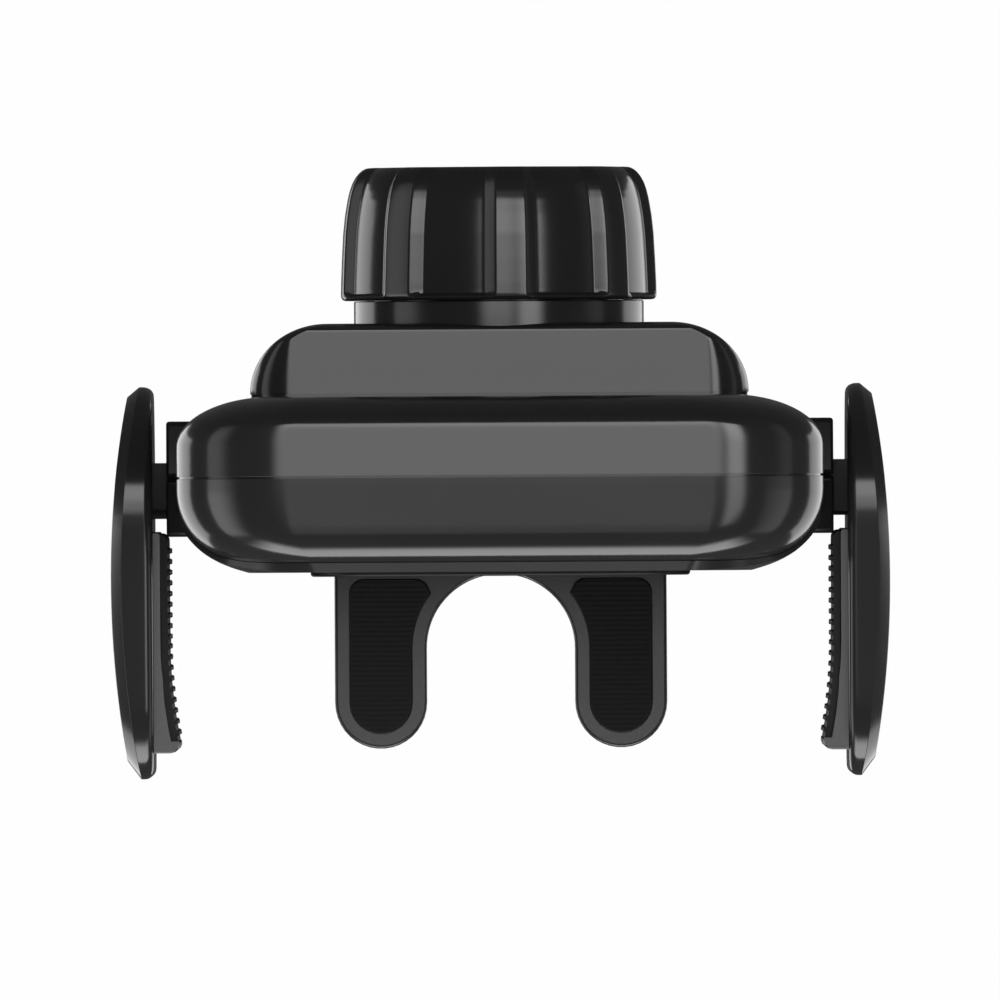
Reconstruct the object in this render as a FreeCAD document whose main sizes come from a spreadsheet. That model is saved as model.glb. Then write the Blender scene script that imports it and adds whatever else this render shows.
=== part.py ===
"""Car wireless charger: a powered phone cradle on a ball joint.

The origin is the centre of the ball joint. +Y points back along the joint's axis, +Z to the top end
of the cradle and +X to its right. Depth is measured from the ball's centre towards the phone, so a
depth of 20 lies at Y = -20. All sizes are in millimetres and live in the sheet named dims.
"""
import FreeCAD
import Part
import math
import os
import re
import Sketcher

SIZES = {
    # Housing: a rounded box in two shells that meet at the parting plane
    "half_width": 32.15,
    "half_length": 52.0,
    "mid_height": -6.0,
    "plan_corner": 11.1,
    "corner_shrink": 0.5,
    "end_draft": 2.0,
    "wall": 1.8,
    "parting": 24.85,
    "parting_gap": 0.3,
    "lip_reach": 0.5,
    "lip_width": 0.7,
    "lip_clearance": 0.1,
    "back": 16.9,
    "rear_edge_across": 9.5,
    "rear_edge_deep": 5.0,
    "rear_end_across": 6.0,
    "rear_end_deep": 3.0,
    "front": 33.4,
    "front_edge": 7.2,
    "front_end_edge": 3.4,
    "least_corner": 0.4,
    # Side bosses that the arms slide out of
    "boss_proud": 1.2,
    "boss_half_length": 12.5,
    "boss_back": 19.5,
    "boss_front": 30.8,
    "boss_root": 4.0,
    # Front panel and its soft pad
    "panel_gap": 0.05,
    "panel_thickness": 0.95,
    "panel_wrap": 20.0,
    "panel_inset": 2.6,
    "pad_half_width": 18.9,
    "pad_half_length": 34.0,
    "pad_thickness": 0.45,
    "pad_corner": 6.0,
    "pad_chamfer": 0.2,
    # Joint base: hump, neck and split socket
    "hump_half_width": 24.9,
    "hump_edge_across": 7.7,
    "hump_edge_deep": 7.0,
    "hump_back": 9.6,
    "hump_half_length": 23.0,
    "hump_mid_height": -8.0,
    "hump_corner": 4.2,
    "hump_rim_across": 2.0,
    "hump_rim_deep": 0.7,
    "hump_wall": 1.6,
    "shadow_gap": 0.35,
    "shadow_inset": 0.8,
    "neck_radius": 14.5,
    "neck_back": 7.6,
    "neck_root": 1.0,
    "thread_radius": 12.6,
    "finger_shoulder": 1.0,
    "finger_tip_radius": 10.2,
    "finger_tip": 4.0,
    "finger_slot": 1.2,
    "finger_slot_length": 8.0,
    "finger_count": 6,
    "ball_socket_radius": 8.6,
    # Collar nut
    "nut_front": 7.3,
    "nut_back": 6.0,
    "nut_radius": 15.8,
    "nut_shoulder_radius": 15.0,
    "nut_shoulder": 3.2,
    "nut_top_radius": 13.2,
    "nut_flank_curve": 70.0,
    "nut_shoulder_curve": 3.2,
    "nut_lip": 0.4,
    "nut_thread_clearance": 0.08,
    "nut_seat_clearance": 0.3,
    "nut_mouth_radius": 9.2,
    "rib_count": 8,
    "rib_height": 0.85,
    "rib_crest_angle": 5.6,
    "rib_root_angle": 10.2,
    "rib_turn": 4.6,
    "rib_crest_share": 0.75,
    "rib_root_share": 1.15,
    # Gear train and its plate
    "gear_height": -6.0,
    "mesh_clearance": 0.12,
    "pressure_angle": 25.0,
    "rack_module": 0.6,
    "train_module": 0.5,
    "pinion_teeth": 12,
    "drive_wheel_teeth": 40,
    "reducer_wheel_teeth": 36,
    "reducer_direction": 225.0,
    "motor_direction": -40.0,
    "gear_level": 12.0,
    "drive_wheel_width": 2.0,
    "reducer_pinion_width": 2.4,
    "reducer_wheel_width": 2.0,
    "drive_hub_radius": 2.9,
    "pinion_level": 23.7,
    "pinion_width": 5.1,
    "axle_radius": 1.0,
    "axle_head_radius": 1.8,
    "axle_head": 0.4,
    "reducer_axle_radius": 0.8,
    "running_clearance": 0.05,
    "fixed_clearance": 0.02,
    "axle_boss_radius": 2.2,
    "axle_boss": 0.5,
    "axle_socket": 1.5,
    "plate_thickness": 1.2,
    "plate_fit": 0.15,
    "plate_half_length": 24.6,
    "plate_corner": 5.0,
    "hub_hole_clearance": 0.3,
    # Clamp motor
    "motor_width": 12.0,
    "motor_height": 10.0,
    "motor_length": 11.4,
    "motor_level": 17.2,
    "motor_fit": 0.1,
    "motor_corner": 2.0,
    "motor_nose_radius": 1.6,
    "motor_nose": 0.4,
    "motor_shaft_radius": 0.75,
    "motor_shaft_depth": 1.5,
    # Arms
    "arm_travel": 11.0,
    "slider_half_height": 9.0,
    "slider_clearance": 0.2,
    "slider_thickness": 2.2,
    "left_slider_level": 23.8,
    "slider_gap": 0.4,
    "slot_clearance": 0.4,
    "slot_end_bar": 2.5,
    "rack_teeth": 10,
    "neck_back_face": 23.4,
    "neck_thickness": 4.65,
    "neck_rib": 0.95,
    "neck_rib_half_height": 7.0,
    "tenon_length": 1.4,
    "tenon_half_height": 8.0,
    "tenon_thickness": 3.2,
    "tenon_clearance": 0.05,
    "arm_gap": 1.35,
    "arm_thickness": 4.2,
    "arm_curve": 118.0,
    "arm_bulge_depth": 36.3,
    "arm_back": 15.8,
    "arm_front": 55.0,
    "arm_half_length": 22.5,
    "arm_tip_chamfer": 1.1,
    "arm_inner_round": 0.9,
    "arm_back_corner": 13.0,
    "arm_front_corner": 7.0,
    "arm_bevel": 0.8,
    "carrier_back": 30.3,
    "carrier_front": 52.4,
    "carrier_half_length": 19.0,
    "carrier_thickness": 0.7,
    "grip_thickness": 0.9,
    "grip_inset": 0.5,
    "grip_boss_gap": 0.3,
    "grip_bend": 42.3,
    "grip_curve": 36.0,
    "grip_lip": 0.35,
    "grip_rib_count": 18,
    "grip_rib_pitch": 1.075,
    "grip_rib_first": 32.2,
    "grip_rib_height": 0.23,
    "grip_rib_width": 0.48,
    "grip_rib_crest": 0.38,
    "grip_rib_margin": 1.2,
    "grip_rib_root": 0.15,
    # Sliding foot
    "foot_travel": 12.0,
    "foot_gap": 1.5,
    "foot_thickness": 3.0,
    "foot_half_width": 16.65,
    "foot_notch_radius": 7.5,
    "foot_notch_depth": 42.3,
    "foot_front": 52.15,
    "stem_half_width": 9.5,
    "stem_back": 29.0,
    "stem_thickness": 2.2,
    "stem_reach": 24.0,
    "stem_clearance": 0.3,
    "guide_width": 1.5,
    "guide_lip": 1.1,
    "guide_lip_reach": 1.2,
    "foot_rim": 1.45,
    "foot_pad_top": 35.2,
    "foot_pad_corner": 1.5,
    "foot_pad_nip": 1.2,
    "foot_pad_depth": 1.0,
    "foot_pad_proud": 0.15,
    "foot_pad_fit": 0.05,
    # Charging parts, board and port
    "coil_radius": 21.5,
    "coil_hole_radius": 10.0,
    "coil_thickness": 1.2,
    "ferrite_half_width": 22.5,
    "ferrite_thickness": 0.8,
    "ferrite_corner": 3.0,
    "board_half_width": 18.8,
    "board_end": 3.5,
    "board_length": 21.5,
    "board_back": 24.1,
    "board_thickness": 1.0,
    "board_rail": 1.4,
    "chip_row": 12.0,
    "chip_length": 6.0,
    "controller_x": -8.5,
    "controller_width": 7.0,
    "controller_height": 1.2,
    "driver_x": -1.5,
    "driver_width": 4.0,
    "driver_height": 1.0,
    "inductor_x": 6.0,
    "inductor_width": 6.0,
    "inductor_height": 3.0,
    "capacitor_x": 12.0,
    "capacitor_width": 3.0,
    "capacitor_height": 2.4,
    "port_half_width": 4.5,
    "port_height": 3.2,
    "port_corner": 1.45,
    "port_length": 7.3,
    "port_wall": 0.3,
    "port_tongue": 0.7,
    "port_recess": 0.3,
    "port_clearance": 0.2,
    "cell_half_width": 12.0,
    "cell_end": 12.5,
    "cell_length": 13.0,
    "cell_thickness": 5.0,
    "cell_corner": 1.5,
    # Screws
    "screw_radius": 0.95,
    "screw_head_radius": 1.9,
    "screw_head": 1.2,
    "screw_hole_clearance": 0.15,
    "screw_head_clearance": 0.2,
    "screw_boss_radius": 2.6,
    "housing_screw_side": 10.15,
    "housing_screw_end": 10.0,
    "housing_screw_reach": 20.4,
    "base_screw_side": 4.4,
    "base_screw_end": 4.8,
    "base_boss_depth": 13.0,
    "base_screw_reach": 13.8,
    "window_side": 7.5,
    "window_end": 2.6,
}

# Places that follow from the sizes; an expression that names one is written out in the sheet's words
FOLLOWING = {
    "boss_side": "(half_width + boss_proud)",
    "arm_inner": "(half_width + boss_proud + arm_gap)",
    "arm_bulge": "(half_width + boss_proud + arm_gap + arm_thickness)",
    "plate_half_width": "(half_width - rear_edge_across - plate_fit)",
    "board_bottom": "(mid_height - half_length + board_end)",
    "board_top": "(mid_height - half_length + board_end + board_length)",
    "cell_top": "(mid_height + half_length - cell_end)",
    "cell_bottom": "(mid_height + half_length - cell_end - cell_length)",
    "housing_screw_x": "(half_width - housing_screw_side)",
    "housing_screw_top": "(mid_height + half_length - housing_screw_end)",
    "housing_screw_bottom": "(mid_height - half_length + housing_screw_end)",
    "base_screw_x": "(hump_half_width - base_screw_side)",
    "base_screw_spread": "(hump_half_length - base_screw_end)",
    "window_half_width": "(hump_half_width - window_side)",
    "window_half_length": "(hump_half_length - window_end)",
}

document = FreeCAD.newDocument("charger")
sheet = document.addObject("Spreadsheet::Sheet", "dims")
for row, (word, number) in enumerate(SIZES.items(), 1):
    sheet.set("A%d" % row, str(number))
    sheet.setAlias("A%d" % row, word)
document.recompute()
WORD = re.compile(r"[a-z_]+")
PARTS = []
# Straight runs that stand in for a round edge, before and after the ends start to round
OUTER_RUNS = (2, 4)
HUMP_RUNS = (5, 2)
INNER_RUNS = (1, 2)
# Wheels with more teeth than this have straight flanks
STRAIGHT_FLANK_TEETH = 20

# Places that several pieces share, written once as expressions in the sheet's words
REAR_SHOULDER = "(back + rear_edge_deep)"
FRONT_SHOULDER = "(front - front_edge)"
BODY_BOTTOM = "(mid_height - half_length)"
BACK_WALL = "(back + wall)"
WALL_MIDDLE = "(back + wall/2)"
FRONT_WALL = "(front - wall)"
FRONT_WALL_MIDDLE = "(front - wall/2)"
SHELL_FRONT_EDGE = "(parting + parting_gap)"
PANEL_BACK = "(front + panel_gap)"
PANEL_FRONT = "(front + panel_gap + panel_thickness)"
COIL_BACK = "(front - wall - coil_thickness)"
FERRITE_BACK = "(front - wall - coil_thickness - ferrite_thickness)"
PLATE_FRONT = "(back + wall + plate_thickness)"
NECK_FRONT = "(neck_back_face + neck_thickness)"
GRIP_FACE = "(arm_inner - carrier_thickness - grip_thickness)"
PINION_RADIUS = "(rack_module*pinion_teeth/2)"
PINION_TIP = "(rack_module*pinion_teeth/2 + rack_module)"
RACK_PITCH = "(rack_module*pi)"
SLOT_REACH = "(arm_travel + rack_module*pinion_teeth/2 + rack_module + slot_clearance)"
NECK_START = "(arm_travel + rack_module*pinion_teeth/2 + rack_module + slot_clearance*2 + slot_end_bar)"
REDUCER_DISTANCE = "(train_module*(drive_wheel_teeth + pinion_teeth)/2 + mesh_clearance)"
MOTOR_DISTANCE = "(train_module*(reducer_wheel_teeth + pinion_teeth)/2 + mesh_clearance)"
REDUCER_X = "(" + REDUCER_DISTANCE + "*cos(reducer_direction))"
REDUCER_Z = "(gear_height + " + REDUCER_DISTANCE + "*sin(reducer_direction))"
MOTOR_X = "(" + REDUCER_X + " + " + MOTOR_DISTANCE + "*cos(motor_direction))"
MOTOR_Z = "(" + REDUCER_Z + " + " + MOTOR_DISTANCE + "*sin(motor_direction))"
FOOT_TOP = "(mid_height - half_length - foot_gap)"
PRONG_RADIUS = "((foot_half_width - foot_notch_radius)/2)"
PRONG_MIDDLE = "((foot_half_width + foot_notch_radius)/2)"
PRONG_END = "(foot_front - (foot_half_width - foot_notch_radius)/2)"
PORT_BACK = "(board_back - port_height)"
HUMP_SEAT = "(back - shadow_gap)"
HOUSING_SCREWS = [(side + "housing_screw_x", height)
                  for side in ("", "-1*") for height in ("housing_screw_top", "housing_screw_bottom")]
BASE_SCREWS = [(side + "base_screw_x", "hump_mid_height" + way + "base_screw_spread")
               for side in ("", "-1*") for way in (" + ", " - ")]


def written_out(expression):
    """Write an expression in the sheet's own words."""
    return WORD.sub(lambda word: FOLLOWING.get(word.group(), word.group()), str(expression))


def bound(expression):
    """Put the sheet's name before each of its words, as an object's expression needs."""
    return WORD.sub(lambda word: "dims." + word.group() if word.group() in SIZES else word.group(),
                    written_out(expression))


def value(expression):
    """Work out an expression in the sheet's words as a plain number."""
    return float(sheet.evalExpression(written_out(expression)))


def new_body(label):
    """Start one sub-part."""
    body = document.addObject("PartDesign::Body", label)
    body.Label = label
    PARTS.append(body)
    return body


def new_sketch(body, plane="XZ_Plane", lift="0"):
    """Attach an empty sketch to one of the body's origin planes, lifted off it along its normal.

    On the XZ plane the normal is -Y, so the lift is a depth.
    """
    sketch = body.newObject("Sketcher::SketchObject", "outline")
    origin_plane = next(item for item in body.Origin.OriginFeatures if item.Role == plane)
    sketch.AttachmentSupport = [(origin_plane, "")]
    sketch.MapMode = "FlatFace"
    sketch.setExpression("AttachmentOffset.Base.z", bound(lift))
    return sketch


def pin(sketch, geometry, point, axis, expression):
    """Tie one coordinate of a point to an expression."""
    number = sketch.addConstraint(
        Sketcher.Constraint("Distance" + axis, -1, 1, geometry, point, value(expression)))
    sketch.setExpression("Constraints[%d]" % number, bound(expression))


def outline(sketch, corners):
    """Draw one closed outline through corners, each (x, y) or (x, y, centre, clockwise).

    A corner with a centre is reached by an arc about that centre, and any other by a line.
    """
    START, END, CENTRE = 1, 2, 3
    places = [FreeCAD.Vector(value(corner[0]), value(corner[1]), 0) for corner in corners]
    edges = []
    for number, corner in enumerate(corners):
        here = places[number]
        before = places[number - 1]
        if len(corner) == 2:
            edges.append((sketch.addGeometry(Part.LineSegment(before, here)), START, END))
            continue
        centre = FreeCAD.Vector(value(corner[2][0]), value(corner[2][1]), 0)
        first, last = (here, before) if corner[3] else (before, here)
        circle = Part.Circle(centre, FreeCAD.Vector(0, 0, 1), (before - centre).Length)
        arc = Part.ArcOfCircle(circle, circle.parameter(first), circle.parameter(last))
        ends = (END, START) if corner[3] else (START, END)
        edges.append((sketch.addGeometry(arc),) + ends)
    for number, corner in enumerate(corners):
        edge, start, end = edges[number]
        following = edges[(number + 1) % len(corners)]
        sketch.addConstraint(Sketcher.Constraint("Coincident", edge, end, following[0], following[1]))
        if len(corner) == 2:
            pin(sketch, edge, end, "X", corner[0])
            pin(sketch, edge, end, "Y", corner[1])
            continue
        pin(sketch, edge, CENTRE, "X", corner[2][0])
        pin(sketch, edge, CENTRE, "Y", corner[2][1])
        spoke = places[number] - FreeCAD.Vector(value(corner[2][0]), value(corner[2][1]), 0)
        if abs(spoke.y) > abs(spoke.x):
            pin(sketch, edge, end, "X", corner[0])
        else:
            pin(sketch, edge, end, "Y", corner[1])


def rounded(sketch, left, right, bottom, top, radius):
    """Draw a rectangle with round corners."""
    x_low = "(%s) + (%s)" % (left, radius)
    x_high = "(%s) - (%s)" % (right, radius)
    y_low = "(%s) + (%s)" % (bottom, radius)
    y_high = "(%s) - (%s)" % (top, radius)
    outline(sketch, [
        (x_low, bottom, (x_low, y_low), False),
        (x_high, bottom),
        (right, y_low, (x_high, y_low), False),
        (right, y_high),
        (x_high, top, (x_high, y_high), False),
        (x_low, top),
        (left, y_high, (x_low, y_high), False),
        (left, y_low),
    ])


def rectangle(sketch, left, right, bottom, top):
    """Draw a plain rectangle."""
    outline(sketch, [(left, bottom), (right, bottom), (right, top), (left, top)])


def circle(sketch, across, up, radius):
    """Draw a circle about a point."""
    middle = FreeCAD.Vector(value(across), value(up), 0)
    ring = sketch.addGeometry(Part.Circle(middle, FreeCAD.Vector(0, 0, 1), value(radius)))
    pin(sketch, ring, 3, "X", across)
    pin(sketch, ring, 3, "Y", up)
    number = sketch.addConstraint(Sketcher.Constraint("Radius", ring, value(radius)))
    sketch.setExpression("Constraints[%d]" % number, bound(radius))


def pad(body, sketch, length):
    """Add material from the sketch along its normal."""
    feature = body.newObject("PartDesign::Pad", "pad")
    feature.Profile = sketch
    feature.setExpression("Length", bound(length))
    body.Tip = feature
    return feature


def cut(body, sketch, length):
    """Take material away from the sketch along its normal."""
    feature = body.newObject("PartDesign::Pocket", "cut")
    feature.Profile = sketch
    feature.Reversed = True
    feature.setExpression("Length", bound(length))
    body.Tip = feature
    return feature


def turn(body, sketch, kind, axis="V_Axis"):
    """Revolve the sketch a full turn about one of its axes, as Revolution or Groove."""
    feature = body.newObject("PartDesign::" + kind, "turned")
    feature.Profile = sketch
    feature.ReferenceAxis = (sketch, [axis])
    feature.Angle = 360
    body.Tip = feature
    return feature


def loft(body, sections, kind):
    """Join a row of sketches with straight runs, as AdditiveLoft or SubtractiveLoft."""
    feature = body.newObject("PartDesign::" + kind, "skin")
    feature.Profile = sections[0]
    feature.Sections = sections[1:]
    feature.Ruled = True
    body.Tip = feature
    return feature


def around(body, feature, count):
    """Repeat a feature about the joint's axis."""
    pattern = body.newObject("PartDesign::PolarPattern", "ring")
    pattern.Originals = [feature]
    pattern.Axis = (next(item for item in body.Origin.OriginFeatures if item.Role == "Y_Axis"), [""])
    pattern.Angle = 360
    pattern.setExpression("Occurrences", bound(count))
    body.Tip = pattern
    return pattern


def box(body, left, right, bottom, top, depth, length):
    """Pad a rectangle of the XZ plane from one depth by a length."""
    sketch = new_sketch(body, lift=depth)
    rectangle(sketch, left, right, bottom, top)
    return pad(body, sketch, length)


def slot(body, left, right, bottom, top, depth, length):
    """Cut a rectangle of the XZ plane from one depth by a length."""
    sketch = new_sketch(body, lift=depth)
    rectangle(sketch, left, right, bottom, top)
    return cut(body, sketch, length)


def rods(body, places, radius, depth, length):
    """Pad circles at several places from one depth by a length."""
    sketch = new_sketch(body, lift=depth)
    for across, up in places:
        circle(sketch, across, up, radius)
    return pad(body, sketch, length)


def holes(body, places, radius, depth, length):
    """Cut circles at several places from one depth by a length."""
    sketch = new_sketch(body, lift=depth)
    for across, up in places:
        circle(sketch, across, up, radius)
    return cut(body, sketch, length)


def edge_angles(start, runs):
    """Angles over a round edge, with one where the rounding of the ends starts.

    runs is how many straight runs stand in for the curve before that angle and after it.
    """
    before, after = runs
    return (["(%s*%d/%d)" % (start, number, before) for number in range(before)]
            + ["(%s + (90 deg - %s)*%d/%d)" % (start, start, number, after) for number in range(after + 1)])


def shell_sections(body, inset, runs, parting_edge, shoulder, way, edge_across, edge_deep, end_across, end_deep):
    """Sections of one housing shell, from its parting edge out to its flat face.

    way is the sign with which depth grows towards the flat face.
    """
    face = "(%s %s %s)" % (shoulder, way, edge_deep)
    start = "asin((%s - %s)/(%s - %s))" % (edge_deep, end_deep, edge_deep, inset)

    def section_at(angle):
        depth, half_across = parting_edge, "(half_width - %s)" % inset
        if angle is not None:
            depth = "(%s %s (%s - %s)*sin(%s))" % (shoulder, way, edge_deep, inset, angle)
            half_across = "(half_width - %s + (%s - %s)*cos(%s))" % (edge_across, edge_across, inset, angle)
        rounding = "min(1; max(0; %s - abs(%s - %s))/(%s - %s))" % (end_deep, face, depth, end_deep, inset)
        half_up = ("(half_length - %s - tan(end_draft)*abs(parting - %s) - (%s - %s)*(1 - sqrt(1 - (%s)^2)))"
                   % (inset, depth, end_across, inset, rounding))
        section = new_sketch(body, lift=depth)
        rounded(section, "-1*" + half_across, half_across,
                "mid_height - " + half_up, "mid_height + " + half_up,
                "(plan_corner - %s - corner_shrink*(half_width - %s - %s))" % (inset, inset, half_across))
        return section

    return [section_at(angle) for angle in [None] + edge_angles(start, runs)]


def rear_sections(body, inset, runs):
    """Sections of the rear shell, whose edge is an ellipse."""
    return shell_sections(body, inset, runs, "parting", REAR_SHOULDER, "-", "rear_edge_across",
                          "rear_edge_deep", "rear_end_across", "rear_end_deep")


def front_sections(body, inset, runs):
    """Sections of the front shell, whose edge is round."""
    return shell_sections(body, inset, runs, SHELL_FRONT_EDGE, FRONT_SHOULDER, "+", "front_edge",
                          "front_edge", "front_end_edge", "front_end_edge")


def side_bosses(body, depth, length):
    """Pad the bosses that the arms slide out of, left and right."""
    sketch = new_sketch(body, lift=depth)
    for side in ("", "-1*"):
        near = side + "(boss_side - boss_root)"
        far = side + "boss_side"
        left, right = (near, far) if side == "" else (far, near)
        rectangle(sketch, left, right, "gear_height - boss_half_length", "gear_height + boss_half_length")
    return pad(body, sketch, length)


def slider_windows(body, depth, length):
    """Cut the windows that the sliders run through, left and right."""
    sketch = new_sketch(body, lift=depth)
    for side in ("", "-1*"):
        near = side + "(boss_side - boss_root - wall)"
        far = side + "(boss_side + wall)"
        left, right = (near, far) if side == "" else (far, near)
        rectangle(sketch, left, right, "gear_height - slider_half_height - slider_clearance",
                  "gear_height + slider_half_height + slider_clearance")
    return cut(body, sketch, length)


def edges_of(feature):
    """Names and edges of a feature's shape."""
    return [("Edge%d" % number, edge) for number, edge in enumerate(feature.Shape.Edges, 1)]


def bevel(body, feature, names, size):
    """Chamfer some edges of a feature."""
    chamfer = body.newObject("PartDesign::Chamfer", "bevel")
    chamfer.Base = (feature, names)
    chamfer.setExpression("Size", bound(size))
    body.Tip = chamfer
    return chamfer


def arc_corner(x_from, y_from, x_to, y_to, radius):
    """Corner reached by an anticlockwise arc of a given radius from the corner before it."""
    half = "(sqrt((%s - (%s))^2 + (%s - (%s))^2)/2)" % (x_to, x_from, y_to, y_from)
    rise = "sqrt((%s)^2 - %s^2)" % (radius, half)
    across = "((%s - (%s))/(2*%s))" % (x_to, x_from, half)
    up = "((%s - (%s))/(2*%s))" % (y_to, y_from, half)
    centre = ("(%s + (%s))/2 - %s*%s" % (x_from, x_to, up, rise),
              "(%s + (%s))/2 + %s*%s" % (y_from, y_to, across, rise))
    return (x_to, y_to, centre, False)


def bend(x_from, y_from, x_to, y_to, radius, runs):
    """Corners along an anticlockwise arc of a given radius, reached by straight runs."""
    centre = arc_corner(x_from, y_from, x_to, y_to, radius)[2]
    turned = "2*asin(sqrt((%s - (%s))^2 + (%s - (%s))^2)/(2*%s))" % (x_to, x_from, y_to, y_from, radius)
    across = "(%s - (%s))" % (x_from, centre[0])
    up = "(%s - (%s))" % (y_from, centre[1])
    corners = []
    for number in range(1, runs + 1):
        angle = "(%s*%d/%d)" % (turned, number, runs)
        corners.append(("%s + %s*cos(%s) - %s*sin(%s)" % (centre[0], across, angle, up, angle),
                        "%s + %s*sin(%s) + %s*cos(%s)" % (centre[1], across, angle, up, angle)))
    return corners


def lowered(corners, depth):
    """Move an outline's corners towards the axis."""
    moved = []
    for corner in corners:
        point = ("(%s) - %s" % (corner[0], depth), corner[1])
        if len(corner) == 4:
            point += (("(%s) - %s" % (corner[2][0], depth), corner[2][1]), corner[3])
        moved.append(point)
    return moved


def hump_sections(body, inset, runs):
    """Sections of the hump from its seat back, with an elliptical edge along both long sides."""
    start = "asin((hump_edge_deep - %s - hump_rim_deep)/(hump_edge_deep - %s))" % (inset, inset)

    def section_at(angle):
        depth = "(hump_back + hump_edge_deep - (hump_edge_deep - %s)*sin(%s))" % (inset, angle)
        half_across = "(hump_half_width - hump_edge_across + (hump_edge_across - %s)*cos(%s))" % (inset, angle)
        rounding = "min(1; max(0; hump_back + %s + hump_rim_deep - %s)/hump_rim_deep)" % (inset, depth)
        half_up = "(hump_half_length - %s - hump_rim_across*(1 - sqrt(1 - (%s)^2)))" % (inset, rounding)
        section = new_sketch(body, lift=depth)
        rounded(section, "-1*" + half_across, half_across,
                "hump_mid_height - " + half_up, "hump_mid_height + " + half_up,
                "max(least_corner; hump_corner - %s - (hump_half_width - %s - %s))" % (inset, inset, half_across))
        return section

    return [section_at(angle) for angle in edge_angles(start, runs)]


def rear_shell():
    """Rear half of the housing, with the window that the gear train stands in."""
    body = new_body("rear_shell")
    loft(body, rear_sections(body, "0", OUTER_RUNS), "AdditiveLoft")
    side_bosses(body, "boss_back", "parting - boss_back")
    loft(body, rear_sections(body, "wall", INNER_RUNS), "SubtractiveLoft")
    rods(body, HOUSING_SCREWS, "screw_boss_radius", WALL_MIDDLE, "parting - " + WALL_MIDDLE)
    holes(body, HOUSING_SCREWS, "screw_radius + fixed_clearance", "housing_screw_reach - fixed_clearance",
          "parting - housing_screw_reach + wall")
    for side in ("", "-1*"):
        inner = side + "(board_half_width - 2*board_rail)"
        outer = side + "(board_half_width - board_rail)"
        left, right = (inner, outer) if side == "" else (outer, inner)
        box(body, left, right, "board_bottom + board_rail", "board_top - board_rail",
            WALL_MIDDLE, "board_back - " + WALL_MIDDLE)
    window = new_sketch(body, lift="back - wall")
    rounded(window, "-1*window_half_width", "window_half_width", "hump_mid_height - window_half_length",
            "hump_mid_height + window_half_length", "hump_corner")
    cut(body, window, "3*wall")
    holes(body, BASE_SCREWS, "screw_radius + screw_hole_clearance", "back - wall", "3*wall")
    slider_windows(body, "neck_back_face - slider_clearance", "parting - neck_back_face + wall")
    mouth = new_sketch(body, "XY_Plane", BODY_BOTTOM + " - wall")
    rounded(mouth, "-1*(port_half_width + port_clearance)", "port_half_width + port_clearance",
            "-1*(board_back + port_clearance)", "-1*(%s - port_clearance)" % PORT_BACK,
            "port_height/2")
    cut(body, mouth, "3*wall")
    return body


def front_shell():
    """Front half of the housing, with the slideway of the foot and sunk screw seats."""
    body = new_body("front_shell")
    loft(body, front_sections(body, "0", OUTER_RUNS), "AdditiveLoft")
    side_bosses(body, SHELL_FRONT_EDGE, "boss_front - " + SHELL_FRONT_EDGE)
    loft(body, front_sections(body, "wall", INNER_RUNS), "SubtractiveLoft")
    lip = new_sketch(body, lift="parting - lip_reach")
    for inset in ("(wall + lip_clearance)", "(wall + lip_clearance + lip_width)"):
        across, up = "(half_width - %s)" % inset, "(half_length - %s)" % inset
        rounded(lip, "-1*" + across, across, "mid_height - " + up, "mid_height + " + up, "plan_corner - " + inset)
    pad(body, lip, "lip_reach + parting_gap")
    root = new_sketch(body, lift=SHELL_FRONT_EDGE)
    across, up = "(half_width - wall/2)", "(half_length - wall/2)"
    rounded(root, "-1*" + across, across, "mid_height - " + up, "mid_height + " + up, "plan_corner - wall/2")
    inset = "(wall + lip_clearance + lip_width)"
    across, up = "(half_width - %s)" % inset, "(half_length - %s)" % inset
    rounded(root, "-1*" + across, across, "mid_height - " + up, "mid_height + " + up, "plan_corner - " + inset)
    pad(body, root, "lip_width")
    rods(body, HOUSING_SCREWS, "screw_boss_radius", SHELL_FRONT_EDGE,
         FRONT_WALL_MIDDLE + " - " + SHELL_FRONT_EDGE)
    holes(body, HOUSING_SCREWS, "screw_radius + screw_hole_clearance", "parting", "front - parting + wall")
    holes(body, HOUSING_SCREWS, "screw_head_radius + screw_head_clearance", "front - screw_head - panel_gap",
          "screw_head + wall")
    for side in ("", "-1*"):
        near = side + "(stem_half_width + stem_clearance)"
        far = side + "(stem_half_width + stem_clearance + guide_width)"
        lip = side + "(stem_half_width + stem_clearance - guide_lip_reach)"
        for inner, depth, length in ((near, "stem_back - stem_clearance",
                                      FRONT_WALL_MIDDLE + " - stem_back + stem_clearance"),
                                     (lip, "stem_back - stem_clearance - guide_lip", "guide_lip")):
            left, right = (inner, far) if side == "" else (far, inner)
            box(body, left, right, BODY_BOTTOM + " + wall/2",
                FOOT_TOP + " + stem_reach", depth, length)
    doorway = new_sketch(body, "XY_Plane", BODY_BOTTOM + " - wall")
    rectangle(doorway, "-1*(stem_half_width + stem_clearance)", "stem_half_width + stem_clearance",
              "-1*(stem_back + stem_thickness + stem_clearance)", "-1*(stem_back - stem_clearance)")
    cut(body, doorway, "3*wall")
    slider_windows(body, "neck_back_face - slider_clearance", "neck_thickness + neck_rib + 2*slider_clearance")
    return body


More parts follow.
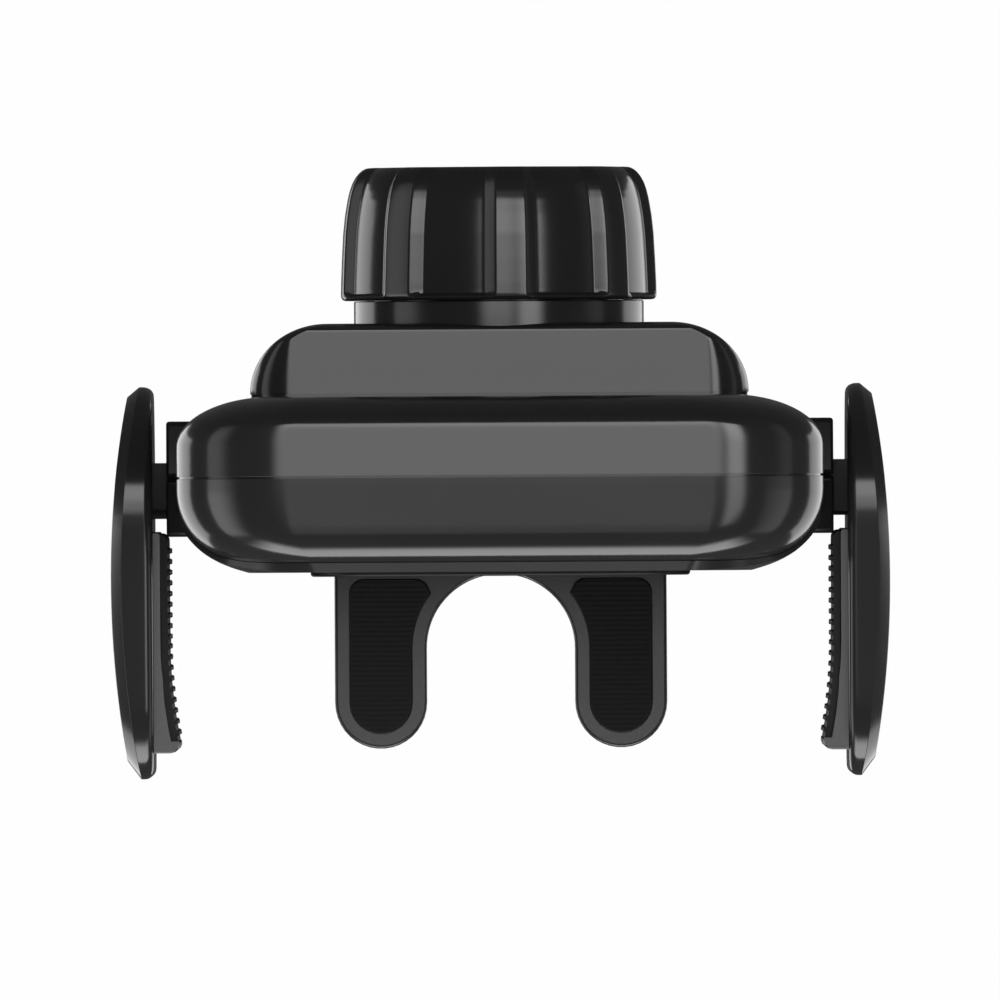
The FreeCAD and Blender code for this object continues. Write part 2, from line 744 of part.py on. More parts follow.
def front_panel():
    """Thin sheet over the front, bent round both long edges and open at the ends."""
    body = new_body("front_panel")
    sheet_end = BODY_BOTTOM + " + panel_inset"
    profile = new_sketch(body, "XY_Plane", sheet_end)
    inner = "(front_edge + panel_gap)"
    outer = "(front_edge + panel_gap + panel_thickness)"
    middle = "(half_width - front_edge)"
    right = (middle, "-1*" + FRONT_SHOULDER)
    left = ("-1*" + middle, "-1*" + FRONT_SHOULDER)

    def rim(centre, radius, side):
        return ("%s + %s%s*cos(panel_wrap)" % (centre[0], side, radius),
                "%s - %s*sin(panel_wrap)" % (centre[1], radius))

    outline(profile, [
        rim(left, inner, "-1*") + (left, True),
        rim(left, outer, "-1*"),
        (left[0], "-1*" + PANEL_FRONT, left, False),
        (right[0], "-1*" + PANEL_FRONT),
        rim(right, outer, "") + (right, False),
        rim(right, inner, ""),
        (right[0], "-1*" + PANEL_BACK, right, True),
        (left[0], "-1*" + PANEL_BACK),
    ])
    pad(body, profile, "2*(half_length - panel_inset)")
    trim = new_sketch(body, lift="parting")
    over = "(half_width + 2*front_edge)"
    rectangle(trim, "-1*" + over, over, "mid_height - half_length - wall", "mid_height + half_length + wall")
    reach = "(half_width + panel_thickness)"
    rounded(trim, "-1*" + reach, reach, "mid_height - half_length + panel_inset",
            "mid_height + half_length - panel_inset", "plan_corner")
    cut(body, trim, PANEL_FRONT + " - parting + wall")
    for side in ("", "-1*"):
        near = side + "(half_width - boss_root + wall)"
        far = side + "(boss_side + wall)"
        left, right = (near, far) if side == "" else (far, near)
        slot(body, left, right, "gear_height - boss_half_length - panel_gap",
             "gear_height + boss_half_length + panel_gap", "parting", "boss_front + panel_gap - parting")
    return body


def front_pad():
    """Soft pad that the phone's back rests on."""
    body = new_body("front_pad")
    face = new_sketch(body, lift=PANEL_FRONT)
    rounded(face, "-1*pad_half_width", "pad_half_width", "mid_height - pad_half_length",
            "mid_height + pad_half_length", "pad_corner")
    raised = pad(body, face, "pad_thickness")
    document.recompute()
    rim = [name for name, edge in edges_of(raised)
           if abs(edge.CenterOfMass.y + value(PANEL_FRONT + " + pad_thickness")) < 1e-4]
    bevel(body, raised, rim, "pad_chamfer")
    return body


def joint_base():
    """Hump, neck and split ball socket in one moulding, screwed to the rear shell from inside."""
    body = new_body("joint_base")
    loft(body, hump_sections(body, "0", HUMP_RUNS), "AdditiveLoft")
    foot_ring = new_sketch(body, lift=HUMP_SEAT)
    inset = "(hump_half_width - shadow_inset)"
    half_up = "(hump_half_length - shadow_inset)"
    rounded(foot_ring, "-1*" + inset, inset, "hump_mid_height - " + half_up, "hump_mid_height + " + half_up,
            "hump_corner - shadow_inset")
    pad(body, foot_ring, "shadow_gap")
    loft(body, hump_sections(body, "hump_wall", INNER_RUNS), "SubtractiveLoft")
    well = new_sketch(body, lift=HUMP_SEAT + " - hump_wall")
    inset = "(hump_half_width - hump_wall - shadow_inset/2)"
    half_up = "(hump_half_length - hump_wall - shadow_inset/2)"
    rounded(well, "-1*" + inset, inset, "hump_mid_height - " + half_up, "hump_mid_height + " + half_up,
            "hump_corner - hump_wall")
    cut(body, well, "shadow_gap + 2*hump_wall")
    stem = new_sketch(body, "XY_Plane")
    rim_radius = "sqrt(ball_socket_radius^2 - finger_tip^2)"
    outline(stem, [("0", "-1*ball_socket_radius")]
            + bend("0", "-1*ball_socket_radius", rim_radius, "finger_tip", "ball_socket_radius", 7) + [
        ("finger_tip_radius", "finger_tip"),
        ("thread_radius", "-1*finger_shoulder"),
        ("thread_radius", "-1*neck_back"),
        ("neck_radius", "-1*neck_back"),
        ("neck_radius", "-1*(hump_back + neck_root)"),
        ("0", "-1*(hump_back + neck_root)"),
    ])
    turn(body, stem, "Revolution")
    cleft = new_sketch(body, lift="-1*finger_tip - finger_slot")
    rectangle(cleft, "ball_socket_radius/2", "thread_radius + finger_slot", "-1*finger_slot/2", "finger_slot/2")
    first = cut(body, cleft, "finger_slot_length + finger_slot")
    document.recompute()
    around(body, first, "finger_count")
    rods(body, BASE_SCREWS, "screw_boss_radius - screw_radius/2", "base_boss_depth", "back - base_boss_depth")
    holes(body, BASE_SCREWS, "screw_radius + fixed_clearance", "base_screw_reach - fixed_clearance",
          "back - base_screw_reach + wall")
    seats = [("0", "gear_height"), (REDUCER_X, REDUCER_Z)]
    rods(body, seats, "axle_boss_radius", "hump_back + hump_wall - axle_boss", "2*axle_boss")
    floor = "hump_back + hump_wall + axle_boss - axle_socket"
    holes(body, seats[:1], "axle_radius + fixed_clearance", floor, "axle_socket + wall")
    holes(body, seats[1:], "reducer_axle_radius + fixed_clearance", floor, "axle_socket + wall")
    return body


def collar_nut():
    """Grip nut that draws the split socket together on the ball."""
    body = new_body("collar_nut")
    crest = [
        ("nut_radius - nut_lip", "-1*nut_front"),
        ("nut_radius", "-1*nut_front + nut_lip"),
    ]
    crest += bend("nut_radius", "-1*nut_front + nut_lip", "nut_shoulder_radius", "nut_shoulder",
                  "nut_flank_curve", 2)
    crest += bend("nut_shoulder_radius", "nut_shoulder", "nut_top_radius", "nut_back",
                  "nut_shoulder_curve", 3)
    blank = new_sketch(body, "XY_Plane")
    outline(blank, [("0", "-1*nut_front")] + lowered(crest, "rib_height") + [("0", "nut_back")])
    turn(body, blank, "Revolution")
    rib = new_sketch(body, lift="-1*nut_back")
    inner = "(nut_top_radius - 2*rib_height)"
    outer = "(nut_radius + rib_height)"
    wide, narrow = "rib_root_angle*rib_root_share", "rib_crest_angle*rib_crest_share"
    outline(rib, [
        (radius + "*sin(rib_turn %s %s)" % (way, angle), radius + "*cos(rib_turn %s %s)" % (way, angle))
        for radius, way, angle in ((inner, "+", wide), (outer, "+", narrow), (outer, "-", narrow),
                                   (inner, "-", wide))
    ])
    first = pad(body, rib, "nut_back + nut_front")
    document.recompute()
    around(body, first, "rib_count")
    outside = new_sketch(body, "XY_Plane")
    far = "(nut_radius + 3*rib_height)"
    outline(outside, crest + [
        ("nut_top_radius", "nut_back + rib_height"),
        (far, "nut_back + rib_height"),
        (far, "-1*nut_front - rib_height"),
        ("nut_radius - nut_lip", "-1*nut_front - rib_height"),
    ])
    turn(body, outside, "Groove")
    bore = "(thread_radius + nut_thread_clearance)"
    inside = new_sketch(body, "XY_Plane")
    outline(inside, [
        ("0", "-1*nut_front - rib_height"),
        (bore, "-1*nut_front - rib_height"),
        (bore, "-1*finger_shoulder + nut_seat_clearance"),
        ("finger_tip_radius + nut_seat_clearance", "finger_tip + nut_seat_clearance"),
        ("nut_mouth_radius", "finger_tip + nut_seat_clearance"),
        ("nut_mouth_radius", "nut_back + rib_height"),
        ("0", "nut_back + rib_height"),
    ])
    turn(body, inside, "Groove")
    return body


def toothed_outline(module, teeth, across, up, direction, depth):
    """Wire of an involute spur gear, with one tooth centred on a direction in the XZ plane.

    Each flank of a small pinion has two straight runs, through the involute at the root, the pitch
    circle and the tip. On a wheel of many teeth the involute is all but straight, and so is the flank.
    """
    pitch = module * teeth / 2
    angle = math.radians(value("pressure_angle"))
    base = pitch * math.cos(angle)
    tip, root = pitch + module, pitch - 1.25 * module

    def half_tooth(radius):
        turned = math.acos(min(1.0, base / max(radius, base)))
        return (math.pi / (2 * teeth) + (math.tan(angle) - angle) - (math.tan(turned) - turned))

    def point(radius, turned):
        return FreeCAD.Vector(across + radius * math.cos(turned), -depth, up + radius * math.sin(turned))

    radii = (root, tip) if teeth > STRAIGHT_FLANK_TEETH else (root, pitch, tip)
    corners = []
    for number in range(int(teeth)):
        middle = math.radians(direction) + 2 * math.pi * number / teeth
        corners += [point(radius, middle - half_tooth(radius)) for radius in radii]
        corners += [point(radius, middle + half_tooth(radius)) for radius in reversed(radii)]
    return Part.makePolygon(corners + corners[:1])


def gear_rim(module, teeth, across, up, direction, depth, width):
    """Solid spur gear from one depth by a width."""
    numbers = [value(item) for item in (module, teeth, across, up, direction, depth, width)]
    face = Part.Face(toothed_outline(*numbers[:6]))
    return face.extrude(FreeCAD.Vector(0, -numbers[6], 0))


def drum(across, up, radius, depth, length):
    """Solid cylinder along the joint's axis from one depth by a length."""
    place = FreeCAD.Vector(value(across), -value(depth), value(up))
    return Part.makeCylinder(value(radius), value(length), place, FreeCAD.Vector(0, -1, 0))


def turned_part(label, solids, bore=None):
    """Fuse toothed rims and drums into one sub-part, with a bore through it."""
    shape = solids[0].multiFuse(solids[1:]) if len(solids) > 1 else solids[0]
    if bore is not None:
        shape = shape.cut(bore)
    feature = document.addObject("Part::Feature", label)
    feature.Label = label
    feature.Shape = shape.removeSplitter()
    PARTS.append(feature)
    return feature


def drive_gear():
    """Large wheel and arm pinion in one moulding, turning on the drive axle."""
    wheel = gear_rim("train_module", "drive_wheel_teeth", "0", "gear_height", "reducer_direction",
                     "gear_level", "drive_wheel_width")
    hub = drum("0", "gear_height", "drive_hub_radius", "gear_level", "pinion_level - gear_level")
    pinion = gear_rim("rack_module", "pinion_teeth", "0", "gear_height", "90", "pinion_level", "pinion_width")
    bore = drum("0", "gear_height", "axle_radius + running_clearance", "gear_level - 1",
                "pinion_level + pinion_width - gear_level + 2")
    turned_part("drive_gear", [wheel, hub, pinion], bore)


def reducer_gear():
    """Small pinion and wheel in one moulding between the motor and the drive gear."""
    facing = "reducer_direction + 180 + 180/pinion_teeth"
    pinion = gear_rim("train_module", "pinion_teeth", REDUCER_X, REDUCER_Z, facing,
                      "gear_level", "reducer_pinion_width")
    wheel = gear_rim("train_module", "reducer_wheel_teeth", REDUCER_X, REDUCER_Z, "motor_direction",
                     "gear_level + reducer_pinion_width", "reducer_wheel_width")
    bore = drum(REDUCER_X, REDUCER_Z, "reducer_axle_radius + running_clearance", "gear_level - 1",
                "reducer_pinion_width + reducer_wheel_width + 2")
    turned_part("reducer_gear", [pinion, wheel], bore)


def motor_pinion():
    """Pinion on the motor's shaft."""
    facing = "motor_direction + 180 + 180/pinion_teeth"
    level = "gear_level + reducer_pinion_width"
    pinion = gear_rim("train_module", "pinion_teeth", MOTOR_X, MOTOR_Z, facing, level, "reducer_wheel_width")
    shaft = drum(MOTOR_X, MOTOR_Z, "motor_shaft_radius", level,
                 "motor_level + motor_shaft_depth - fixed_clearance - (%s)" % level)
    turned_part("motor_pinion", [pinion, shaft])


def clamp_motor():
    """Flat-sided motor whose front nose carries the pinion shaft."""
    body = new_body("clamp_motor")
    can = new_sketch(body, lift="motor_level")
    rounded(can, MOTOR_X + " - motor_width/2", MOTOR_X + " + motor_width/2",
            MOTOR_Z + " - motor_height/2", MOTOR_Z + " + motor_height/2", "motor_corner")
    pad(body, can, "motor_length")
    nose = [(MOTOR_X, MOTOR_Z)]
    rods(body, nose, "motor_nose_radius", "motor_level - motor_nose", "2*motor_nose")
    holes(body, nose, "motor_shaft_radius + running_clearance", "motor_level - motor_nose - wall",
          "motor_nose + wall + motor_shaft_depth")


def gear_plate():
    """Plate that carries the motor and the reducer's axle, screwed on with the joint base."""
    body = new_body("gear_plate")
    face = new_sketch(body, lift=BACK_WALL)
    rounded(face, "-1*plate_half_width", "plate_half_width", "hump_mid_height - plate_half_length",
            "hump_mid_height + plate_half_length", "plate_corner")
    circle(face, "0", "gear_height", "drive_hub_radius + hub_hole_clearance")
    circle(face, REDUCER_X, REDUCER_Z, "reducer_axle_radius + fixed_clearance")
    rounded(face, MOTOR_X + " - motor_width/2 - motor_fit", MOTOR_X + " + motor_width/2 + motor_fit",
            MOTOR_Z + " - motor_height/2 - motor_fit", MOTOR_Z + " + motor_height/2 + motor_fit",
            "motor_corner + motor_fit")
    for across, up in BASE_SCREWS:
        circle(face, across, up, "screw_radius + screw_hole_clearance")
    pad(body, face, "plate_thickness")


def axles():
    """Steel axles pressed into the hump: one for the drive gear and one for the reducer."""
    floor = "hump_back + hump_wall + axle_boss - axle_socket + fixed_clearance"
    body = new_body("drive_axle")
    rods(body, [("0", "gear_height")], "axle_radius", floor,
         "pinion_level + pinion_width + running_clearance*2 - (%s)" % floor)
    rods(body, [("0", "gear_height")], "axle_head_radius", "pinion_level + pinion_width + running_clearance*2",
         "axle_head")
    body = new_body("reducer_axle")
    rods(body, [(REDUCER_X, REDUCER_Z)], "reducer_axle_radius", floor, PLATE_FRONT + " - (%s)" % floor)


def sided(corners, side):
    """Mirror an outline's corners to the left when side is -1."""
    if side > 0:
        return corners
    mirrored = []
    for corner in corners:
        point = ("-1*(%s)" % corner[0], corner[1])
        if len(corner) == 4:
            point += (("-1*(%s)" % corner[2][0], corner[2][1]), not corner[3])
        mirrored.append(point)
    return mirrored


def span(side, near, far):
    """Left and right ends of a stretch that lies between two distances on one side."""
    if side > 0:
        return "(%s)" % near, "(%s)" % far
    return "-1*(%s)" % far, "-1*(%s)" % near


def arm_slider(name, side):
    """Slide plate with a rack in its slot, a stiff neck through the housing and a tenon for the arm.

    The right plate has its rack above the pinion and the left plate below, in the level behind it.
    """
    body = new_body("arm_slider_" + name)
    level = "left_slider_level" if side < 0 else "(left_slider_level + slider_thickness + slider_gap)"
    left, right = span(side, "-1*(%s + slot_end_bar)" % SLOT_REACH, "arm_inner")
    box(body, left, right, "gear_height - slider_half_height", "gear_height + slider_half_height",
        level, "slider_thickness")
    left, right = span(side, NECK_START, "arm_inner")
    box(body, left, right, "gear_height - slider_half_height", "gear_height + slider_half_height",
        "neck_back_face", "neck_thickness")
    box(body, left, right, "gear_height - neck_rib_half_height", "gear_height + neck_rib_half_height",
        NECK_FRONT, "neck_rib")
    left, right = span(side, "arm_inner - slot_end_bar", "arm_inner + tenon_length")
    box(body, left, right, "gear_height - tenon_half_height", "gear_height + tenon_half_height",
        "neck_back_face + (neck_thickness - tenon_thickness)/2", "tenon_thickness")
    rack_root = PINION_RADIUS + " + mesh_clearance + 1.25*rack_module"
    plain_edge = PINION_TIP + " + slot_clearance"
    left, right = span(side, "-1*" + SLOT_REACH, plain_edge)
    low, high = (plain_edge, rack_root) if side > 0 else (rack_root, plain_edge)
    slot(body, left, right, "gear_height - (%s)" % low, "gear_height + (%s)" % high,
         level + " - slider_gap/4", "slider_thickness + slider_gap/2")
    tooth = new_sketch(body, lift=level)
    way = "+" if side > 0 else "-"
    first = "%d*1.5*%s" % (side, RACK_PITCH)
    half_pitch = RACK_PITCH + "/4"
    corners = []
    for edge, height in (("-", "1.25*rack_module + slot_clearance"), ("-", "-1*rack_module"),
                         ("+", "-1*rack_module"), ("+", "1.25*rack_module + slot_clearance")):
        corners.append(("%s %s (%s + (%s)*tan(pressure_angle))" % (first, edge, half_pitch, height),
                        "gear_height %s (%s + mesh_clearance + (%s))" % (way, PINION_RADIUS, height)))
    outline(tooth, corners)
    one = pad(body, tooth, "slider_thickness")
    document.recompute()
    row = body.newObject("PartDesign::LinearPattern", "rack")
    row.Originals = [one]
    row.Direction = (next(item for item in body.Origin.OriginFeatures if item.Role == "X_Axis"), [""])
    row.Reversed = side > 0
    row.setExpression("Length", bound(RACK_PITCH + "*(rack_teeth - 1)"))
    row.setExpression("Occurrences", bound("rack_teeth"))
    body.Tip = row


def arm_cover(name, side):
    """Bowed outer arm with rounded ends, bevelled all round its outer face."""
    body = new_body("arm_cover_" + name)
    centre = ("arm_bulge - arm_curve", "-1*arm_bulge_depth")

    def bow(depth):
        return "arm_bulge - arm_curve + sqrt(arm_curve^2 - (%s - arm_bulge_depth)^2)" % depth

    back_shoulder = "(arm_back + arm_tip_chamfer)"
    front_shoulder = "(arm_front - arm_tip_chamfer)"
    profile = new_sketch(body, "XY_Plane", "gear_height - arm_half_length")
    outline(profile, sided([
        ("arm_inner", "-1*(arm_front - arm_inner_round)"),
        ("arm_inner + arm_inner_round", "-1*arm_front",
         ("arm_inner + arm_inner_round", "-1*(arm_front - arm_inner_round)"), False),
        ("%s - arm_tip_chamfer" % bow(front_shoulder), "-1*arm_front"),
        (bow(front_shoulder), "-1*" + front_shoulder),
        (bow(back_shoulder), "-1*" + back_shoulder, centre, False),
        ("%s - arm_tip_chamfer" % bow(back_shoulder), "-1*arm_back"),
        ("arm_inner + arm_inner_round", "-1*arm_back"),
        ("arm_inner", "-1*(arm_back + arm_inner_round)",
         ("arm_inner + arm_inner_round", "-1*(arm_back + arm_inner_round)"), False),
    ], side))
    pad(body, profile, "2*arm_half_length")
    trim = new_sketch(body, "YZ_Plane", "-1*(arm_bulge + wall)" if side < 0 else "arm_inner - wall")
    low, high = "gear_height - arm_half_length", "gear_height + arm_half_length"
    rectangle(trim, "-1*arm_front - wall", "-1*arm_back + wall", low + " - wall", high + " + wall")
    front, back = "-1*arm_front - panel_gap", "-1*arm_back + panel_gap"
    outline(trim, [
        (front + " + arm_front_corner", low,
         (front + " + arm_front_corner", low + " + arm_front_corner"), False),
        (back + " - arm_back_corner", low),
        (back, low + " + arm_back_corner", (back + " - arm_back_corner", low + " + arm_back_corner"), False),
        (back, high + " - arm_back_corner"),
        (back + " - arm_back_corner", high,
         (back + " - arm_back_corner", high + " - arm_back_corner"), False),
        (front + " + arm_front_corner", high),
        (front, high + " - arm_front_corner",
         (front + " + arm_front_corner", high + " - arm_front_corner"), False),
        (front, low + " + arm_front_corner"),
    ])
    trimmed = cut(body, trim, "arm_bulge - arm_inner + 2*wall")
    document.recompute()
    shape = trimmed.Shape
    bowed = [face for face in shape.Faces
             if isinstance(face.Surface, Part.Cylinder) and abs(face.Surface.Radius - value("arm_curve")) < 1e-4]
    rim = [name for name, edge in edges_of(trimmed) if any(edge.isSame(side) for side in bowed[0].Edges)]
    bevel(body, trimmed, rim, "arm_bevel")
    pocket_depth = "tenon_length + tenon_clearance"
    near, far = span(side, "arm_inner - wall", "arm_inner + " + pocket_depth)
    slot(body, near, far, "gear_height - tenon_half_height - tenon_clearance",
         "gear_height + tenon_half_height + tenon_clearance",
         "neck_back_face + (neck_thickness - tenon_thickness)/2 - tenon_clearance",
         "tenon_thickness + 2*tenon_clearance")


def grip_line(offset, depth):
    """Distance of the grip's surface from the middle plane at a depth: straight, then curving in."""
    past = "max(0; %s - grip_bend)" % depth
    return "(%s + %s - (grip_curve - sqrt(grip_curve^2 - (%s)^2)))" % (GRIP_FACE, offset, past)


def pad_carrier(name, side):
    """Rigid carrier behind the rubber grip, thicker towards its front end."""
    body = new_body("pad_carrier_" + name)
    section = new_sketch(body, "XY_Plane", "gear_height - carrier_half_length")
    seat = "grip_thickness"
    bend = "(%s + %s)" % (GRIP_FACE, seat)
    outline(section, sided([
        ("arm_inner", "-1*carrier_front"),
        ("arm_inner", "-1*carrier_back"),
        (bend, "-1*carrier_back"),
        (bend, "-1*grip_bend"),
        (grip_line(seat, "carrier_front"), "-1*carrier_front",
         (bend + " - grip_curve", "-1*grip_bend"), True),
    ], side))
    pad(body, section, "2*carrier_half_length")


def grip_pad(name, side):
    """Ribbed rubber grip that follows the carrier and hooks in at its front end."""
    body = new_body("grip_pad_" + name)
    back, front = "(boss_front + grip_boss_gap)", "(carrier_front - grip_inset)"
    seat = "(%s + grip_thickness)" % GRIP_FACE
    section = new_sketch(body, "XY_Plane", "gear_height - carrier_half_length + grip_inset")
    outline(section, sided([
        (seat, "-1*" + back),
        (GRIP_FACE + " + grip_inset", "-1*" + back),
        (GRIP_FACE, "-1*(%s + grip_inset)" % back,
         (GRIP_FACE + " + grip_inset", "-1*(%s + grip_inset)" % back), False),
        (GRIP_FACE, "-1*grip_bend"),
        (grip_line("0", front) + " - grip_lip", "-1*" + front + " + grip_lip",
         (GRIP_FACE + " - grip_curve", "-1*grip_bend"), True),
        (grip_line("grip_thickness", front), "-1*" + front),
        (seat, "-1*grip_bend", (seat + " - grip_curve", "-1*grip_bend"), False),
    ], side))
    pad(body, section, "2*(carrier_half_length - grip_inset)")
    ribs = new_sketch(body, "XY_Plane", "gear_height - carrier_half_length + grip_rib_margin")
    for number in range(int(value("grip_rib_count"))):
        middle = "(grip_rib_first + %d*grip_rib_pitch)" % number
        low, high = grip_line("grip_rib_root", middle), grip_line("-1*grip_rib_height", middle)
        outline(ribs, sided([
            (low, "-1*%s - grip_rib_width/2" % middle),
            (low, "-1*%s + grip_rib_width/2" % middle),
            (high, "-1*%s + grip_rib_crest/2" % middle),
            (high, "-1*%s - grip_rib_crest/2" % middle),
        ], side))
    pad(body, ribs, "2*(carrier_half_length - grip_rib_margin)")


def foot_bracket():
    """Forked foot with a flat stem that slides in the front shell."""
    body = new_body("foot_bracket")
    fork = new_sketch(body, "XY_Plane", FOOT_TOP + " - foot_thickness")
    arch = ("0", "-1*foot_notch_depth")

    def prong_centre(side):
        return (side + PRONG_MIDDLE, "-1*" + PRONG_END)

    outline(fork, [
        ("foot_half_width", "-1*stem_back"),
        ("-1*foot_half_width", "-1*stem_back"),
        ("-1*foot_half_width", "-1*" + PRONG_END),
        ("-1*foot_notch_radius", "-1*" + PRONG_END, prong_centre("-1*"), False),
        ("-1*foot_notch_radius", "-1*foot_notch_depth"),
        ("foot_notch_radius", "-1*foot_notch_depth", arch, True),
        ("foot_notch_radius", "-1*" + PRONG_END),
        ("foot_half_width", "-1*" + PRONG_END, prong_centre(""), False),
    ])
    pad(body, fork, "foot_thickness")
    stem = new_sketch(body, "XY_Plane", FOOT_TOP + " - foot_thickness/2")
    rectangle(stem, "-1*stem_half_width", "stem_half_width",
              "-1*(stem_back + stem_thickness)", "-1*stem_back")
    pad(body, stem, "stem_reach + foot_thickness/2")
    for side in (1, -1):
        recess = new_sketch(body, "XY_Plane", FOOT_TOP + " - foot_pad_depth")
        foot_pad_outline(recess, side, "0")
        cut(body, recess, "foot_pad_depth + wall")


def foot_pad_outline(sketch, side, gap):
    """Inlay that follows the prong, the arch and the round end, a rim's width inside."""
    rim = "(foot_rim + %s)" % gap
    outer = "(foot_half_width - %s)" % rim
    inner = "(foot_notch_radius + %s)" % rim
    top = "(foot_pad_top + %s)" % gap
    shoulder = "(%s + foot_pad_corner)" % top
    meet = "sqrt(%s^2 - (foot_notch_depth - %s)^2)" % (inner, shoulder)
    outline(sketch, sided([
        (inner, "-1*" + PRONG_END),
        (outer, "-1*" + PRONG_END, (PRONG_MIDDLE, "-1*" + PRONG_END), False),
        (outer, "-1*" + shoulder),
        (outer + " - foot_pad_corner", "-1*" + top,
         (outer + " - foot_pad_corner", "-1*" + shoulder), False),
        (meet + " + foot_pad_nip", "-1*" + top),
        (meet, "-1*" + shoulder),
        (inner, "-1*foot_notch_depth", ("0", "-1*foot_notch_depth"), True),
    ], side))


def foot_pad(name, side):
    """Rubber inlay on one prong of the foot."""
    body = new_body("foot_pad_" + name)
    sole = new_sketch(body, "XY_Plane", FOOT_TOP + " - foot_pad_depth")
    foot_pad_outline(sole, side, "foot_pad_fit")
    pad(body, sole, "foot_pad_depth + foot_pad_proud")


def charging_coil():
    """Flat wound coil against the front wall."""
    body = new_body("charging_coil")
    disc = new_sketch(body, lift=COIL_BACK)
    circle(disc, "0", "mid_height", "coil_radius")
    circle(disc, "0", "mid_height", "coil_hole_radius")
    pad(body, disc, "coil_thickness")


def ferrite_sheet():
    """Ferrite backing of the coil."""
    body = new_body("ferrite_sheet")
    face = new_sketch(body, lift=FERRITE_BACK)
    rounded(face, "-1*ferrite_half_width", "ferrite_half_width", "mid_height - ferrite_half_width",
            "mid_height + ferrite_half_width", "ferrite_corner")
    pad(body, face, "ferrite_thickness")


def main_board():
    """Circuit board across its two rails at the bottom end."""
    body = new_body("main_board")
    box(body, "-1*board_half_width", "board_half_width", "board_bottom", "board_top",
        "board_back", "board_thickness")


def board_chips():
    """Controller, driver, inductor and capacitor in a row on the back of the board."""
    body = new_body("board_chips")
    for chip in ("controller", "driver", "inductor", "capacitor"):
        middle, width, height = chip + "_x", chip + "_width", chip + "_height"
        box(body, "%s - %s/2" % (middle, width), "%s + %s/2" % (middle, width),
            "board_bottom + chip_row - chip_length/2", "board_bottom + chip_row + chip_length/2",
            "board_back - " + height, height)


def usb_port():
    """Metal shell of the inlet with its tongue."""
    body = new_body("usb_port")
    end = "(%s + port_recess)" % BODY_BOTTOM
    shell = new_sketch(body, "XY_Plane", end)
    rounded(shell, "-1*port_half_width", "port_half_width", "-1*board_back", "-1*" + PORT_BACK,
            "port_corner")
    pad(body, shell, "port_length")
    hollow = new_sketch(body, "XY_Plane", end)
    rounded(hollow, "-1*(port_half_width - port_wall)", "port_half_width - port_wall",
            "-1*(board_back - port_wall)", "-1*(%s + port_wall)" % PORT_BACK, "port_corner - port_wall")
    cut(body, hollow, "port_length - 2*port_wall")
    tongue = new_sketch(body, "XY_Plane", end + " + 2*port_wall")
    rectangle(tongue, "-1*(port_half_width - 4*port_wall)", "port_half_width - 4*port_wall",
              "-1*(board_back - port_height/2 + port_tongue/2)", "-1*(board_back - port_height/2 - port_tongue/2)")
    pad(body, tongue, "port_length - 3*port_wall")


def backup_cell():
    """Small storage cell that opens the arms when the power is off."""
    body = new_body("backup_cell")
    face = new_sketch(body, lift=BACK_WALL)
    rounded(face, "-1*cell_half_width", "cell_half_width", "cell_bottom", "cell_top", "cell_corner")
    pad(body, face, "cell_thickness")


def screws(name, places, tip, seat):
    """Row of like screws: shank from its tip to the seat, and a head on the seat."""
    body = new_body(name)
    rods(body, places, "screw_radius", tip, "%s - (%s)" % (seat, tip))
    rods(body, places, "screw_head_radius", seat, "screw_head")


def make_all():
    """Make every sub-part in turn."""
    rear_shell()
    front_shell()
    front_panel()
    front_pad()
    joint_base()
    collar_nut()
    gear_plate()
    axles()
    drive_gear()
    reducer_gear()
    motor_pinion()
    clamp_motor()
    for name, side in (("left", -1), ("right", 1)):
        arm_slider(name, side)
        arm_cover(name, side)
        pad_carrier(name, side)
        grip_pad(name, side)
        foot_pad(name, side)
    foot_bracket()
    charging_coil()
    ferrite_sheet()
    main_board()
    board_chips()
    usb_port()
    backup_cell()
    screws("housing_screws", HOUSING_SCREWS, "housing_screw_reach", "(front - screw_head - panel_gap)")
    screws("base_screws", BASE_SCREWS, "base_screw_reach", PLATE_FRONT)


def write_all():
    """Check the whole document, then write one file for each sub-part."""
    document.recompute()
    failed = [item.Label for item in document.Objects if {"Invalid", "Error"} & set(item.State)]
    failed += [part.Label for part in PARTS if part.Shape.isNull() or not part.Shape.isValid()]
    if failed:
        raise RuntimeError("not made: " + ", ".join(failed))
    os.makedirs("parts", exist_ok=True)
    for part in PARTS:
        part.Shape.exportStep("parts/%s.step" % part.Label)
        print(part.Label, len(part.Shape.Solids), round(part.Shape.Volume, 1))


make_all()
write_all()
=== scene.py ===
"""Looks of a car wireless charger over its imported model, laid out as an add-on.

Lengths in the shape functions are in millimetres and in the model's own frame: +Y points back along the
ball joint, +Z to the top end and +X to the right. A depth is measured from the ball's centre towards the
phone, along -Y.
"""
import math

import bpy
import mathutils
import numpy as np
from bpy.props import FloatProperty, FloatVectorProperty, IntProperty, PointerProperty
from bpy.types import Operator, Panel, PropertyGroup
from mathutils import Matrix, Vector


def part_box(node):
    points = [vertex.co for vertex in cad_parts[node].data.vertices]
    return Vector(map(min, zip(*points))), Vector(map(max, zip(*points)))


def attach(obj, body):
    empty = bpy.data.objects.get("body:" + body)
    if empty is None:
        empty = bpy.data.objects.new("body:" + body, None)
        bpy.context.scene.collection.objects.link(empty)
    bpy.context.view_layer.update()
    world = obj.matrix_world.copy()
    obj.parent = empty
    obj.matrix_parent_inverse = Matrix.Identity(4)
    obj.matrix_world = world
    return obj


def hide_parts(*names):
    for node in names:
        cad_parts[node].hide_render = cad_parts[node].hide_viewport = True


bl_info = {
    "name": "Car wireless charger",
    "version": (1, 0, 0),
    "blender": (4, 5, 0),
    "location": "View3D > Sidebar > Charger",
    "description": "Shapes, finishes and studio of a clamp-arm phone charger",
    "category": "Object",
}

